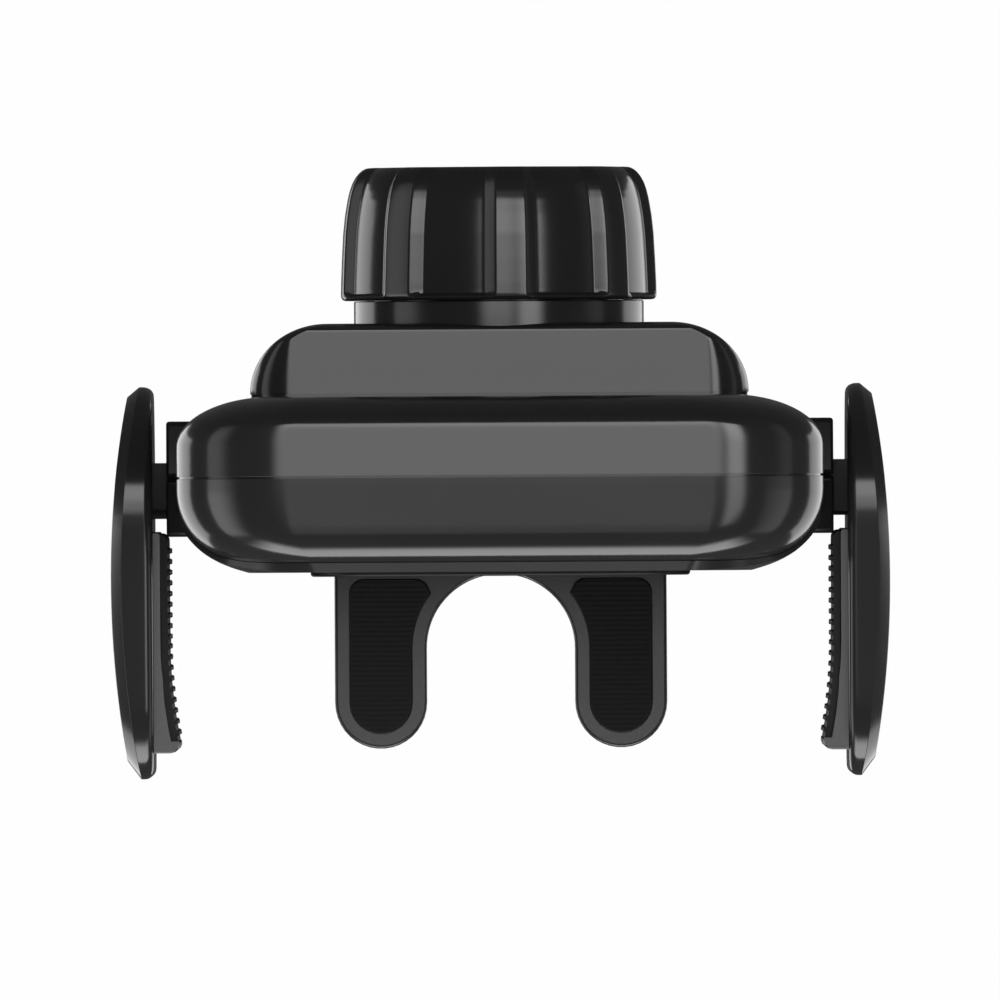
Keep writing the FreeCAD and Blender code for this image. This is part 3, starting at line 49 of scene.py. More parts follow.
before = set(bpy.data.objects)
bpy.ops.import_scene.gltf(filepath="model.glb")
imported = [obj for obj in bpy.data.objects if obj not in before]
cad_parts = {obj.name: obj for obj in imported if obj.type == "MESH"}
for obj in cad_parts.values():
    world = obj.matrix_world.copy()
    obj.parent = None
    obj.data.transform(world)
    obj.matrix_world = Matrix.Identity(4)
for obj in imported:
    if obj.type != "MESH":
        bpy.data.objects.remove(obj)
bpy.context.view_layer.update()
MM = 0.001
SIDES = (("left", -1), ("right", 1))
# Heights of the hump's and of the arms' middle
HUMP_UP, ARMS_UP = -8.0, -6.0
# Depths between which the arms' necks leave the housing
NECK_BACK, NECK_FRONT = 23.2, 29.2
# Half width, half length and corner of the rear shell's window under the hump
HUMP_WINDOW = (17.4, 20.4, 4.2)


def low(node):
    """Lowest corner of a node in millimetres."""
    return np.array(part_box(node)[0]) / MM


def high(node):
    """Highest corner of a node in millimetres."""
    return np.array(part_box(node)[1]) / MM


def length(default, description):
    """Length property in millimetres."""
    return FloatProperty(description=description, default=default, min=0.0)


def angle(default, description):
    """Angle property, given in degrees."""
    return FloatProperty(description=description, default=math.radians(default), subtype="ANGLE")


def shade(grey, description):
    """Colour property of one grey level."""
    return FloatVectorProperty(description=description, default=(grey, grey, grey), subtype="COLOR",
                               size=3, min=0.0, max=1.0)


class ChargerShape(PropertyGroup):
    """Sizes that shape the charger's visible pieces."""

    half_width: length(32.15, "Half the housing's width without the bosses")
    wall: length(1.8, "Thickness of the housing's walls")
    plan_corner: length(11.1, "Corner radius of the housing seen from the phone's side")
    end_draft: angle(2.0, "Lean of the housing's end faces away from the parting plane")
    rear_edge: length(9.5, "Width of the elliptical edge round the rear shell's long sides")
    rear_edge_depth: length(5.0, "Depth of the rear shell's edge")
    rear_end: length(6.0, "Length of the rounding at the rear shell's ends")
    rear_end_depth: length(3.0, "Depth of the rounding at the rear shell's ends")
    front_edge: length(7.2, "Width of the round edge along the front shell's long sides")
    front_edge_depth: length(7.2, "Depth of the front shell's edge")
    front_end: length(2.3, "Length of the rounding at the front shell's ends")
    front_end_depth: length(3.4, "Depth of the rounding at the front shell's ends")
    seam: length(0.2, "Open gap of the parting line between the two shells")
    seam_round: length(0.05, "Small rounding at both lips of the parting line")
    hump_edge: length(7.7, "Width of the elliptical edge along the hump's long sides")
    hump_edge_depth: length(7.0, "Depth of the hump's long edges")
    hump_corner: length(4.2, "Corner radius at the hump's seat")
    hump_rim: length(2.0, "Length of the rounding over the hump's ends")
    hump_rim_depth: length(0.7, "Depth of the rounding over the hump's ends")
    hump_lean: angle(1.5, "Lean of the hump's flat ends")
    shadow_gap: length(0.35, "Gap between the hump and the housing")
    panel_wrap: angle(20.0, "Angle of the long edges at which the front panel ends")
    panel_gap: length(0.05, "Glue gap between the front panel and the front shell")
    panel_end: length(0.1, "Distance of the panel's ends from the edge of the flat face")
    rib_count: IntProperty(description="Grip ribs round the collar nut", default=8, min=3)
    rib_height: length(0.85, "Height of the collar nut's ribs")
    rib_crest: angle(5.6, "Half angle of a rib's crest")
    rib_root: angle(10.2, "Half angle of a rib's foot")
    rib_turn: angle(4.6, "Turn of the first rib from the top end")
    arm_bevel: length(1.8, "Width of the bevel round the arms' outer faces at the front")
    arm_back_bevel: length(1.0, "Width of the same bevel at the arms' rear half")
    arm_bevel_drop: length(1.0, "Drop of the bevel round the arms' outer faces")
    arm_curve: length(103.0, "Radius of the arms' bowed outer faces")
    arm_lean: angle(3.5, "Lean of the arms' ends towards the phone")
    grip_curve: length(50.0, "Radius of the grips' inward curve")
    grip_ribs: IntProperty(description="Ribs on each rubber grip", default=18, min=1)
    foot_half_width: length(16.85, "Half the foot's width")
    foot_end: length(52.45, "Depth of the prongs' tips")
    foot_notch: length(7.5, "Radius of the notch between the foot's prongs")
    foot_notch_depth: length(42.3, "Depth of the notch's centre")
    foot_rim: length(1.45, "Rim of the foot round its rubber inlays")


class ChargerFinish(PropertyGroup):
    """Colours and roughness of the charger's finishes."""

    shell: shade(0.0135, "Moulded housing")
    nut: shade(0.012, "Moulded collar nut")
    arm: shade(0.013, "Moulded arm covers")
    panel: shade(0.014, "Smooth front panel")
    carrier: shade(0.03, "Carriers behind the rubber grips")
    rubber: shade(0.006, "Rubber of the grips")
    inlay: shade(0.007, "Rubber of the front pad and of the foot's inlays")
    foot: shade(0.015, "Moulded foot")
    roughness: FloatProperty(description="Roughness of the moulded plastic", default=0.15, min=0.0, max=1.0,
                             subtype="FACTOR")


def charger():
    """Sizes of the charger's shape."""
    return bpy.context.scene.charger_shape


# Surfaces


def points(right, back, up):
    """Points of rings from X, Y and Z, each given as (rings, points) or with one value a ring."""
    columns = [item[:, None] if item.ndim == 1 else item for item in map(np.asarray, (right, back, up))]
    return np.stack(np.broadcast_arrays(*columns), -1)


def arm_side(grid, side):
    """Points made for the right side; on the left half turned about a line along Y at the arms' middle."""
    if side > 0:
        return grid
    return np.stack([-grid[..., 0], grid[..., 1], 2 * ARMS_UP - grid[..., 2]], -1)


def mirrored(grid):
    """Mirror image in the plane x = 0, with each ring run backwards so that faces still point out."""
    return grid[:, ::-1] * [-1, 1, 1]


def linked(name, data):
    """New object of the scene that holds the data."""
    made = bpy.data.objects.new(name, data)
    bpy.context.scene.collection.objects.link(made)
    return made


def mesh_object(name, vertices, faces):
    """New object of the scene from points in millimetres and faces."""
    mesh = bpy.data.meshes.new(name)
    mesh.from_pydata((np.asarray(vertices) * MM).tolist(), [], [list(face) for face in faces])
    return linked(name, mesh)


def piece(name, solid, finish, body, nodes=(), sharp=35.0, cutters=()):
    """Make one piece from a solid's points and faces, less its cutters, and let it ride on a body.

    Its shading is smooth with sharp creases, and flat faces stay flat.
    """
    made = mesh_object(name, *solid)
    made.data.validate()
    cut_away(made, cutters)
    made.data.materials.clear()
    made.data.materials.append(FINISHES[finish])
    made.data.shade_smooth()
    made.data.set_sharp_from_angle(angle=math.radians(sharp))
    made.modifiers.new("flat faces lead", "WEIGHTED_NORMAL").keep_sharp = True
    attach(made, body)
    if nodes:
        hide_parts(*nodes)


def cut_away(made, cutters):
    """Take solids out of an object and keep the result as its mesh."""
    for solid in cutters:
        cutter = mesh_object("cutter", *solid)
        cut = made.modifiers.new("cut", "BOOLEAN")
        cut.operation, cut.solver, cut.object = "DIFFERENCE", "EXACT", cutter
        bpy.context.view_layer.update()
        result = bpy.data.meshes.new_from_object(
            made.evaluated_get(bpy.context.evaluated_depsgraph_get()))
        made.modifiers.clear()
        spent = (made.data, cutter.data)
        made.data = result
        bpy.data.objects.remove(cutter)
        for mesh in spent:
            bpy.data.meshes.remove(mesh)


def quads(rings, around, loop=False):
    """Faces between neighbouring rings of a grid; with loop the last ring joins the first."""
    count = rings if loop else rings - 1
    ring, step = np.meshgrid(np.arange(count), np.arange(around), indexing="ij")
    after, turn = (ring + 1) % rings, (step + 1) % around
    return np.stack([ring * around + step, ring * around + turn, after * around + turn,
                     after * around + step], -1).reshape(-1, 4)


def ring_solid(grid):
    """Points and faces of a stack of closed rings (rings, points, 3), closed by a face at each end."""
    rings, around = grid.shape[:2]
    ends = [list(range(around))[::-1], list(range((rings - 1) * around, rings * around))]
    return grid.reshape(-1, 3), list(quads(rings, around)) + ends


def loop_solid(grid):
    """Points and faces of closed rings that come back to the first one, like a bent tube."""
    rings, around = grid.shape[:2]
    return grid.reshape(-1, 3), list(quads(rings, around, loop=True))


def block(lowest, highest):
    """Points and faces of a plain box."""
    (left, near, bottom), (right, far, top) = lowest, highest
    return ring_solid(points(np.array([[right, left, left, right]]), np.array([[far, far, near, near]]),
                             [bottom, top]))


def rounding(radius, steps=4):
    """Inset and drop of points over a quarter circle, from a side wall (drop = radius) to a face."""
    turned = np.radians(np.linspace(0, 90, steps))
    return radius * (1 - np.cos(turned)), radius * (1 - np.sin(turned))


def rounded_rings(half_across, half_up, corner, mid_up, steps=14):
    """Rings of rectangles with round corners, anticlockwise.

    Each corner is a quarter circle about a point one corner radius inside both sides. The inputs are
    arrays with one value a ring, and the result is across and up as (rings, points).
    """
    half_across, half_up, corner, mid_up = [np.asarray(item, float).reshape(-1, 1) for item in
                                            np.broadcast_arrays(half_across, half_up, corner, mid_up)]
    turned = (np.arange(4)[:, None] * np.pi / 2 + np.linspace(0, np.pi / 2, steps)).reshape(-1)
    side = np.repeat(np.array([[1, 1], [-1, 1], [-1, -1], [1, -1]]), steps, axis=0)
    across = side[:, 0] * (half_across - corner) + corner * np.cos(turned)
    up = mid_up + side[:, 1] * (half_up - corner) + corner * np.sin(turned)
    return across, up


def sections(depth, half_across, half_up, corner, mid_up):
    """Points of rings of round-cornered rectangles that stand one behind the other at depths."""
    across, up = rounded_rings(half_across, half_up, corner, mid_up)
    return points(across, -depth, up)


def arc_points(centre, radius, first, last, steps):
    """Points of an arc about a centre, from one angle in degrees to another."""
    turned = np.radians(np.linspace(first, last, steps))
    return np.stack([centre[0] + radius * np.cos(turned), centre[1] + radius * np.sin(turned)], -1)


def stacked(*parts):
    """Join sections part by part, each as depth, half width, half length and corner."""
    return [np.concatenate([np.broadcast_to(np.atleast_1d(part[column]), np.atleast_1d(part[0]).shape)
                            for part in parts]) for column in range(4)]


# Materials

# Lumps a metre of the noises, and the depth in metres of the grains
CLOUDS, PLASTIC_GRAIN, RUBBER_GRAIN, METAL_STREAKS = 60.0, 5200.0, 3800.0, 900.0
MOULDED_DEPTH, PANEL_DEPTH, RUBBER_DEPTH = 0.2e-5, 0.1e-5, 1.2e-5


class Wire:
    """A number or colour on its way between nodes. Arithmetic on it adds Math nodes."""

    def __init__(self, tree, socket):
        self.tree = tree
        self.socket = socket

    def math(self, operation, first, second):
        return self.tree.add("ShaderNodeMath", {0: first, 1: second}, operation=operation)

    def __add__(self, other):
        return self.math("ADD", self, other)

    def __radd__(self, other):
        return self.math("ADD", other, self)

    def __sub__(self, other):
        return self.math("SUBTRACT", self, other)

    def __rsub__(self, other):
        return self.math("SUBTRACT", other, self)

    def __mul__(self, other):
        return self.math("MULTIPLY", self, other)

    def __rmul__(self, other):
        return self.math("MULTIPLY", other, self)


class Tree:
    """A node tree that is written as expressions."""

    def __init__(self, tree):
        self.tree = tree
        tree.nodes.clear()

    def add(self, kind, sockets=None, output=0, **settings):
        """Add a node: its settings are set first, then the values or links of its sockets."""
        node = self.tree.nodes.new(kind)
        for name, value in settings.items():
            setattr(node, name, value)
        for name, value in (sockets or {}).items():
            if isinstance(value, Wire):
                self.tree.links.new(value.socket, node.inputs[name])
            else:
                node.inputs[name].default_value = value
        return Wire(self, node.outputs[output]) if node.outputs else None


class Finish(Tree):
    """A material and its node tree."""

    def __init__(self, name):
        self.material = bpy.data.materials.new(name)
        self.material.use_nodes = True
        super().__init__(self.material.node_tree)

    def place(self):
        """Object coordinates."""
        return self.add("ShaderNodeTexCoord", output="Object")

    def noise(self, scale, detail=2.0, roughness=0.5):
        """Noise of a given number of lumps a metre, from 0 to 1."""
        return self.add("ShaderNodeTexNoise", {"Vector": self.place(), "Scale": scale, "Detail": detail,
                                               "Roughness": roughness})

    def bump(self, height, depth):
        """Normal of a relief whose height runs from 0 to 1 over a depth in metres."""
        return self.add("ShaderNodeBump", {"Height": height, "Distance": depth, "Strength": 1.0})

    def mix(self, share, first, second):
        """Colour between two others."""
        return self.add("ShaderNodeMix", {"Factor": share, "A": first, "B": second}, "Result",
                        data_type="RGBA")

    def surface(self, colour, roughness, **sockets):
        """Principled surface as the material's output."""
        sockets = {name.replace("_", " "): value for name, value in sockets.items()}
        self.add("ShaderNodeOutputMaterial", {"Surface": self.add("ShaderNodeBsdfPrincipled", {
            "Base Color": colour, "Roughness": roughness, **sockets})})
        return self.material


def opaque(colour, factor=1.0):
    """Colour with an alpha of one, made lighter or darker by a factor."""
    return tuple(part * factor for part in colour) + (1.0,)


def moulded(name, colour, roughness, grain=MOULDED_DEPTH, specular=0.5):
    """Moulded plastic: a fine spark-eroded grain, slightly uneven gloss and colour."""
    finish = Finish(name)
    cloud = finish.noise(CLOUDS, 3.0)
    shades = finish.mix(cloud, opaque(colour, 0.88), opaque(colour, 1.12))
    return finish.surface(shades, roughness - 0.02 + 0.04 * cloud, Specular_IOR_Level=specular,
                          Normal=finish.bump(finish.noise(PLASTIC_GRAIN), grain))


def rubbery(name, colour, roughness):
    """Rubber: matt and grained."""
    finish = Finish(name)
    grains = finish.noise(RUBBER_GRAIN, 3.0, 0.6)
    shades = finish.mix(grains, opaque(colour, 0.85), opaque(colour, 1.15))
    return finish.surface(shades, roughness - 0.05 + 0.1 * grains, Specular_IOR_Level=0.2,
                          Normal=finish.bump(grains, RUBBER_DEPTH))


def lined_rubber(name, colour, roughness, pitch, depth):
    """Rubber with shallow lines parallel to X, a pitch apart along Y and a little wavy."""
    finish = Finish(name)
    lines = finish.add("ShaderNodeTexWave", {"Vector": finish.place(), "Scale": math.tau / 20 / (pitch * MM),
                                             "Distortion": 0.6, "Detail": 1.0}, "Fac",
                       wave_type="BANDS", bands_direction="Y", wave_profile="SIN")
    grains = finish.noise(RUBBER_GRAIN, 3.0, 0.6)
    shades = finish.mix(lines, opaque(colour, 0.8), opaque(colour, 1.2))
    return finish.surface(shades, roughness - 0.05 + 0.1 * grains, Specular_IOR_Level=0.15,
                          Normal=finish.bump(lines, depth * MM))


def metal(name, colour, roughness):
    """Turned metal: bright, with faint streaks along its length."""
    finish = Finish(name)
    streaks = finish.noise(METAL_STREAKS, 4.0, 0.7)
    shades = finish.mix(streaks, opaque(colour, 0.9), opaque(colour, 1.0))
    return finish.surface(shades, roughness - 0.05 + 0.1 * streaks, Metallic=1.0)


FINISHES = {}


def make_finishes():
    """Make every material that the pieces and the kept nodes use."""
    look = bpy.context.scene.charger_finish
    gloss = look.roughness
    FINISHES.update(
        shell=moulded("shell_plastic", look.shell, gloss),
        nut=moulded("nut_plastic", look.nut, gloss + 0.02),
        arm=moulded("arm_plastic", look.arm, gloss),
        boss=moulded("boss_plastic", look.shell, gloss, specular=0.1),
        panel=moulded("panel_plastic", look.panel, gloss, PANEL_DEPTH),
        carrier=moulded("carrier_plastic", look.carrier, gloss + 0.12),
        foot=moulded("foot_plastic", look.foot, gloss + 0.1),
        rubber=rubbery("grip_rubber", look.rubber, 0.55),
        pad=rubbery("pad_rubber", look.inlay, 0.42),
        inlay=lined_rubber("inlay_rubber", look.inlay, 0.5, 0.5, 0.01),
        gear=moulded("gear_plastic", (0.62, 0.6, 0.54), 0.4),
        slider=moulded("slider_plastic", look.shell, 0.5),
        plate=moulded("plate_plastic", (0.02, 0.02, 0.022), 0.45),
        steel=metal("turned_steel", (0.62, 0.62, 0.63), 0.3),
        nickel=metal("nickel_can", (0.55, 0.55, 0.54), 0.35),
        copper=metal("coil_copper", (0.72, 0.36, 0.2), 0.35),
        ferrite=rubbery("ferrite_grey", (0.045, 0.045, 0.05), 0.6),
        laminate=moulded("board_laminate", (0.01, 0.12, 0.05), 0.35),
        chip=moulded("chip_black", (0.012, 0.012, 0.013), 0.5),
        sleeve=moulded("cell_sleeve", (0.05, 0.09, 0.22), 0.3))


KEPT_NODES = {
    "gear_plate": "plate", "drive_axle": "steel", "reducer_axle": "steel", "drive_gear": "gear",
    "reducer_gear": "gear", "motor_pinion": "gear", "clamp_motor": "nickel", "charging_coil": "copper",
    "ferrite_sheet": "ferrite", "main_board": "laminate", "board_chips": "chip", "usb_port": "nickel",
    "backup_cell": "sleeve", "housing_screws": "steel", "base_screws": "steel",
    "arm_slider_left": "slider", "arm_slider_right": "slider",
}


# Housing

EDGE_ANGLES = np.radians(np.linspace(0, 90, 25))


class Housing:
    """Measures of the two shells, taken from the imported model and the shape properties."""

    def __init__(self):
        lowest, highest = low("rear_shell"), high("rear_shell")
        self.shape = charger()
        self.boss_side = highest[0]
        self.half_width = self.shape.half_width
        self.mid_up = (lowest[2] + highest[2]) / 2
        self.half_length = (highest[2] - lowest[2]) / 2
        self.back = -highest[1]
        self.parting = -lowest[1]
        self.front = -low("front_shell")[1]
        self.front_lip = self.parting + self.shape.seam

    def rings(self, inset, turned, way):
        """Depth, half width, half length and corner of sections at angles over a round edge.

        Way is 1 over the front edge and -1 over the rear one. Depth runs with the sine of the angle and
        half width with its cosine. The ends stay drafted until their rounding starts, and then follow an
        ellipse. The corner shrinks by half of what the width loses.
        """
        name, face = ("front", self.front) if way > 0 else ("rear", self.back)
        edge, edge_depth, end, end_depth = [getattr(self.shape, name + part) for part in
                                            ("_edge", "_edge_depth", "_end", "_end_depth")]
        shoulder = face - way * edge_depth
        depth = shoulder + way * (edge_depth - inset) * np.sin(turned)
        half_across = self.half_width - edge + (edge - inset) * np.cos(turned)
        start = shoulder + way * (edge_depth - end_depth)
        share = np.clip(way * (depth - start) / (end_depth - inset), 0, 1)
        half_up = self.drafted(depth, inset) - (end - inset) * (1 - np.sqrt(1 - share ** 2))
        corner = self.shape.plan_corner - inset - 0.5 * (self.half_width - inset - half_across)
        return depth, half_across, half_up, corner

    def drafted(self, depth, inset):
        """Half length at a depth, before the ends round."""
        return self.half_length - inset - math.tan(self.shape.end_draft) * np.abs(self.parting - depth)

    def lip(self, depth, way):
        """Sections over the small rounding of the parting lip, ending on the parting plane."""
        inset, drop = rounding(self.shape.seam_round)
        depths = depth + way * drop
        return (depths, self.half_width - inset, self.drafted(depths, 0) - inset,
                self.shape.plan_corner - inset)

    def seat(self, depth):
        """Section of the inner wall at a depth."""
        wall = self.shape.wall
        return depth, self.half_width - wall, self.half_length - wall, self.shape.plan_corner - wall

    def mouth(self, right, back):
        """Box for cutting the bottom end open between two places along X and two along Y."""
        end = self.mid_up - self.half_length
        return block((right[0], back[0], end - 2), (right[1], back[1], end + 4))


def side_windows(back, front, reach=(27.0, 33.0), heights=(-15.2, 3.2)):
    """Boxes for cutting both of the housing's sides open for the arms' necks, between two depths."""
    return [block((inner, -front, heights[0]), (outer, -back, heights[1]))
            for inner, outer in (reach, (-reach[1], -reach[0]))]


def make_rear_shell(housing):
    """Rear shell as a loop: window, back face, round edge, side wall, lip, inner wall and inner back."""
    outer = housing.rings(0.0, EDGE_ANGLES[::-1], -1)
    inner = housing.rings(housing.shape.wall, EDGE_ANGLES, -1)
    rings = stacked((outer[0][0],) + HUMP_WINDOW, outer, housing.lip(housing.parting, -1.0),
                    housing.seat(housing.parting), inner, (inner[0][-1],) + HUMP_WINDOW)
    mid_up = np.full(rings[0].shape, housing.mid_up)
    mid_up[[0, -1]] = HUMP_UP
    port = np.stack([low("usb_port") - 0.2, high("usb_port") + 0.2])
    cutters = [housing.mouth(port[:, 0], port[:, 1])] + side_windows(NECK_BACK, housing.parting + 1)
    piece("rear_housing", loop_solid(sections(*rings, mid_up)), "shell", "cradle", ["rear_shell"],
          cutters=cutters)


def make_front_shell(housing):
    """Front shell from its inner face out round the lip and over the round edge to its front face."""
    outer = housing.rings(0.0, EDGE_ANGLES, 1)
    inner = housing.rings(housing.shape.wall, EDGE_ANGLES[::-1], 1)
    lip = [column[::-1] for column in housing.lip(housing.front_lip, 1.0)]
    grid = sections(*stacked(inner, housing.seat(housing.front_lip), lip, outer), housing.mid_up)
    cutters = [housing.mouth((-9.8, 9.8), (-31.5, -28.7))] + side_windows(housing.front_lip - 1, NECK_FRONT)
    piece("front_housing", ring_solid(grid), "shell", "cradle", ["front_shell"], cutters=cutters)


def make_tongue(housing):
    """Tongue of the rear shell that stands just inside the parting line and closes its gap."""
    inset = np.array([0.22, 0.22, 0.9, 0.9])
    depth = housing.parting + np.array([-0.6, 0.6, 0.6, -0.6])
    grid = sections(depth, housing.half_width - inset, housing.half_length - inset - 0.02,
                    housing.shape.plan_corner - inset, housing.mid_up)
    right = (low("usb_port")[0] - 0.3, high("usb_port")[0] + 0.3)
    piece("parting_tongue", loop_solid(grid), "shell", "cradle",
          cutters=[housing.mouth(right, (-26.0, -23.0))] + side_windows(NECK_BACK, NECK_FRONT))


def make_boss(housing, name, side, back, front):
    """Frame round the slider's window: rings of a rounded rectangle, out over its rim and back inside.

    Its ends are crowned: a point near an end moves in by the sagitta of a circle about the crown's depth.
    """
    half_window, half_height, crown_depth, crown_curve = 9.2, 12.5, 25.0, 14.0
    inset, drop = rounding(0.3)
    root = housing.boss_side - 3.2
    levels = np.concatenate([[root], housing.boss_side - drop, [housing.boss_side, root]])
    inset = np.concatenate([[0.0], inset, [0, 0]])
    window = np.arange(len(levels)) >= len(levels) - 2
    inner_back, inner_front = max(back, NECK_BACK), min(front, NECK_FRONT)
    half = np.where(window, (inner_front - inner_back) / 2, (front - back) / 2 - inset)
    centre = np.where(window, (inner_front + inner_back) / 2, (front + back) / 2)
    across, up = rounded_rings(half, np.where(window, half_window, half_height - inset),
                               np.where(window, 0.05, 0.5 - inset), ARMS_UP, 6)
    across = across - centre[:, None]
    off = np.abs(up - ARMS_UP)
    sagitta = crown_curve - np.sqrt(crown_curve ** 2 - (across + crown_depth) ** 2)
    up = ARMS_UP + np.sign(up - ARMS_UP) * (off - sagitta * np.clip((off - half_window - 0.2) / 2.0, 0, 1))
    piece(name, loop_solid(arm_side(points(levels, across, up), side)), "boss", "cradle")


def make_panel(housing):
    """Front panel: a sheet laid over the front shell's flat face and both long edges.

    Each line along the sheet lies on the shell's section of one edge angle, a gap outside it. It ends
    where that section's round corner starts, drawn in at the sides and out again on the flat face, so
    that the sheet's corners are round. Round the long edges the sheet gets thinner.
    """
    shape = housing.shape
    turned = np.concatenate([np.linspace(shape.panel_wrap, math.radians(80), 18),
                             np.radians([82, 84, 86, 87.5, 89, 90])])
    over = (turned - shape.panel_wrap) / (math.pi / 2 - shape.panel_wrap)
    thick = -low("front_panel")[1] - housing.front - shape.panel_gap
    thinned = 0.45 * np.clip(0.4 + over * 6, 0, 1) + 0.55 * over ** 5
    shares = np.concatenate([[-1, -0.999], np.linspace(-0.99, 0.99, 41), [0.999, 1]])[:, None]
    lines = []
    for outward in (shape.panel_gap + thick * thinned, shape.panel_gap + 0 * over):
        depth, half_across, half_up, corner = housing.rings(-outward, turned, 1)
        plain = half_up - corner
        up = shares * (plain - 4.5 * (1 - over) ** 2 + (corner - shape.panel_end) * over ** 3)
        past = np.clip(np.abs(up) - plain, 0, corner)
        across = half_across - corner + np.sqrt(corner ** 2 - past ** 2)
        side = points(across, -depth[None], housing.mid_up + up)
        lines.append(np.concatenate([side, mirrored(side)], axis=1))
    grid = np.concatenate([lines[0], lines[1][:, ::-1]], axis=1)[:, ::-1]
    vertices, faces = ring_solid(grid)
    # Each end is closed by a strip of quads between its outer and its inner line.
    rows, count = grid.shape[:2]
    step = np.arange(count // 2 - 1)
    strip = np.stack([step, step + 1, count - 2 - step, count - 1 - step], -1)
    faces = faces[:-2] + list(strip[:, ::-1]) + list(strip + (rows - 1) * count)
    piece("front_sheet", (vertices, faces), "panel", "cradle", ["front_panel"],
          cutters=side_windows(20.0, 30.85, (29.0, 36.0), (-18.55, 6.55)))


def make_front_pad():
    """Soft pad on the front panel: a rounded sheet with a rounded front rim."""
    lowest, highest = low("front_pad"), high("front_pad")
    inset, drop = rounding(0.3, 7)
    depth = np.concatenate([[-highest[1]], -lowest[1] - drop, [-lowest[1]]])
    inset = np.concatenate([[0.0], inset, [1.2]])
    grid = sections(depth, highest[0] - inset, (highest[2] - lowest[2]) / 2 - inset, 6.0 - inset,
                    (highest[2] + lowest[2]) / 2)
    piece("phone_pad", ring_solid(grid), "pad", "cradle", ["front_pad"])


# Joint base and collar nut


def make_hump():
    """Hump as a hollow shell: back face, rim, elliptical long edges, seat and the inner wall."""
    shape = charger()
    back, seat, plug_end = 9.6, 16.9 - shape.shadow_gap, 17.4
    half_width, half_length, wall, least_corner = high("joint_base")[0], 23.0, 1.6, 1.4
    corner_at_seat = shape.hump_corner

    def rings(inset, turned):
        depth = back + shape.hump_edge_depth - (shape.hump_edge_depth - inset) * np.sin(turned)
        half_across = half_width - shape.hump_edge + (shape.hump_edge - inset) * np.cos(turned)
        share = np.clip((back + inset + shape.hump_rim_depth - depth) / shape.hump_rim_depth, 0, 1)
        lean = math.tan(shape.hump_lean) * (seat - depth)
        half_up = half_length - inset - lean - shape.hump_rim * (1 - np.sqrt(1 - share ** 2))
        corner = np.maximum(least_corner, corner_at_seat - inset - (half_width - inset - half_across))
        return depth, half_across, half_up, corner

    start = math.asin((shape.hump_edge_depth - shape.hump_rim_depth) / shape.hump_edge_depth)
    angles = np.concatenate([np.linspace(0, start, 22), np.linspace(start, np.pi / 2, 12)[1:]])
    inset, drop = [part[1:] for part in rounding(0.15)]
    edge = (seat - drop, half_width - inset, half_length - inset, corner_at_seat - inset)
    plug = ([seat, plug_end], half_width - 0.12, half_length - 0.25, corner_at_seat - 0.2)
    well = ([plug_end, seat - wall], half_width - wall - 0.4, half_length - wall - 0.4, corner_at_seat - wall)
    grid = sections(*stacked(rings(0.0, angles[::-1]), edge, plug, well, rings(wall, angles)), HUMP_UP)
    piece("joint_hump", ring_solid(grid), "shell", "cradle", ["joint_base"])


def make_stem():
    """Neck flange, threaded stem and split fingers round the ball's socket.

    The profile runs up the socket's sphere, over the finger tips, down the stem and out to the neck.
    """
    ball, mouth, thread_pitch, fingers = 8.6, 4.0, 0.9, 6
    socket = arc_points((0, 0), ball, -88, math.degrees(math.asin(mouth / ball)), 22)
    along = np.linspace(-1.6, -7.0, 46)
    threads = 12.35 + 0.25 * np.cos((along + 1.6) / thread_pitch * 2 * np.pi)
    profile = np.concatenate([socket, [[9.9, mouth], [10.2, 3.8], [12.5, -1.0]],
                              np.stack([threads, along], -1),
                              [[12.6, -7.2], [12.6, -7.36], [14.35, -7.36], [14.46, -7.4], [14.5, -7.52],
                               [14.5, -9.4], [14.5, -10.8]]])[::-1]
    turned = np.linspace(0, 2 * np.pi, 96, endpoint=False)
    grid = points(profile[:, :1] * np.sin(turned), profile[:, 1], profile[:, :1] * np.cos(turned))[:, ::-1]
    vertices, faces = block([4.3, -0.6, -4.0], [14.5, 0.6, 4.0])
    out, beside, along = vertices.T
    slots = [(np.stack([out * math.cos(spin) - beside * math.sin(spin), along,
                        -out * math.sin(spin) - beside * math.cos(spin)], -1), faces)
             for spin in np.arange(fingers) * math.tau / fingers]
    piece("joint_stem", ring_solid(grid), "shell", "cradle", sharp=40.0, cutters=slots)


def nut_profile():
    """Radius of the nut's crest and its place along Y, from the front lip up over the shoulder."""
    lip = arc_points((15.35, -6.85), 0.45, -90, 0, 6)
    flank = np.array([[15.78, -5.6], [15.68, -3.2], [15.54, -0.6], [15.35, 1.2], [15.08, 2.8]])
    shoulder = np.array([[14.86, 3.7], [14.62, 4.4], [14.3, 5.0], [13.9, 5.5], [13.5, 5.82], [13.1, 5.97],
                         [12.7, 6.0]])
    coarse = np.concatenate([lip, flank, shoulder])
    run = np.concatenate([[0], np.cumsum(np.hypot(*np.diff(coarse, axis=0).T))])
    fine = np.linspace(0, run[-1], 64)
    return np.stack([np.interp(fine, run, coarse[:, 0]), np.interp(fine, run, coarse[:, 1])], -1)


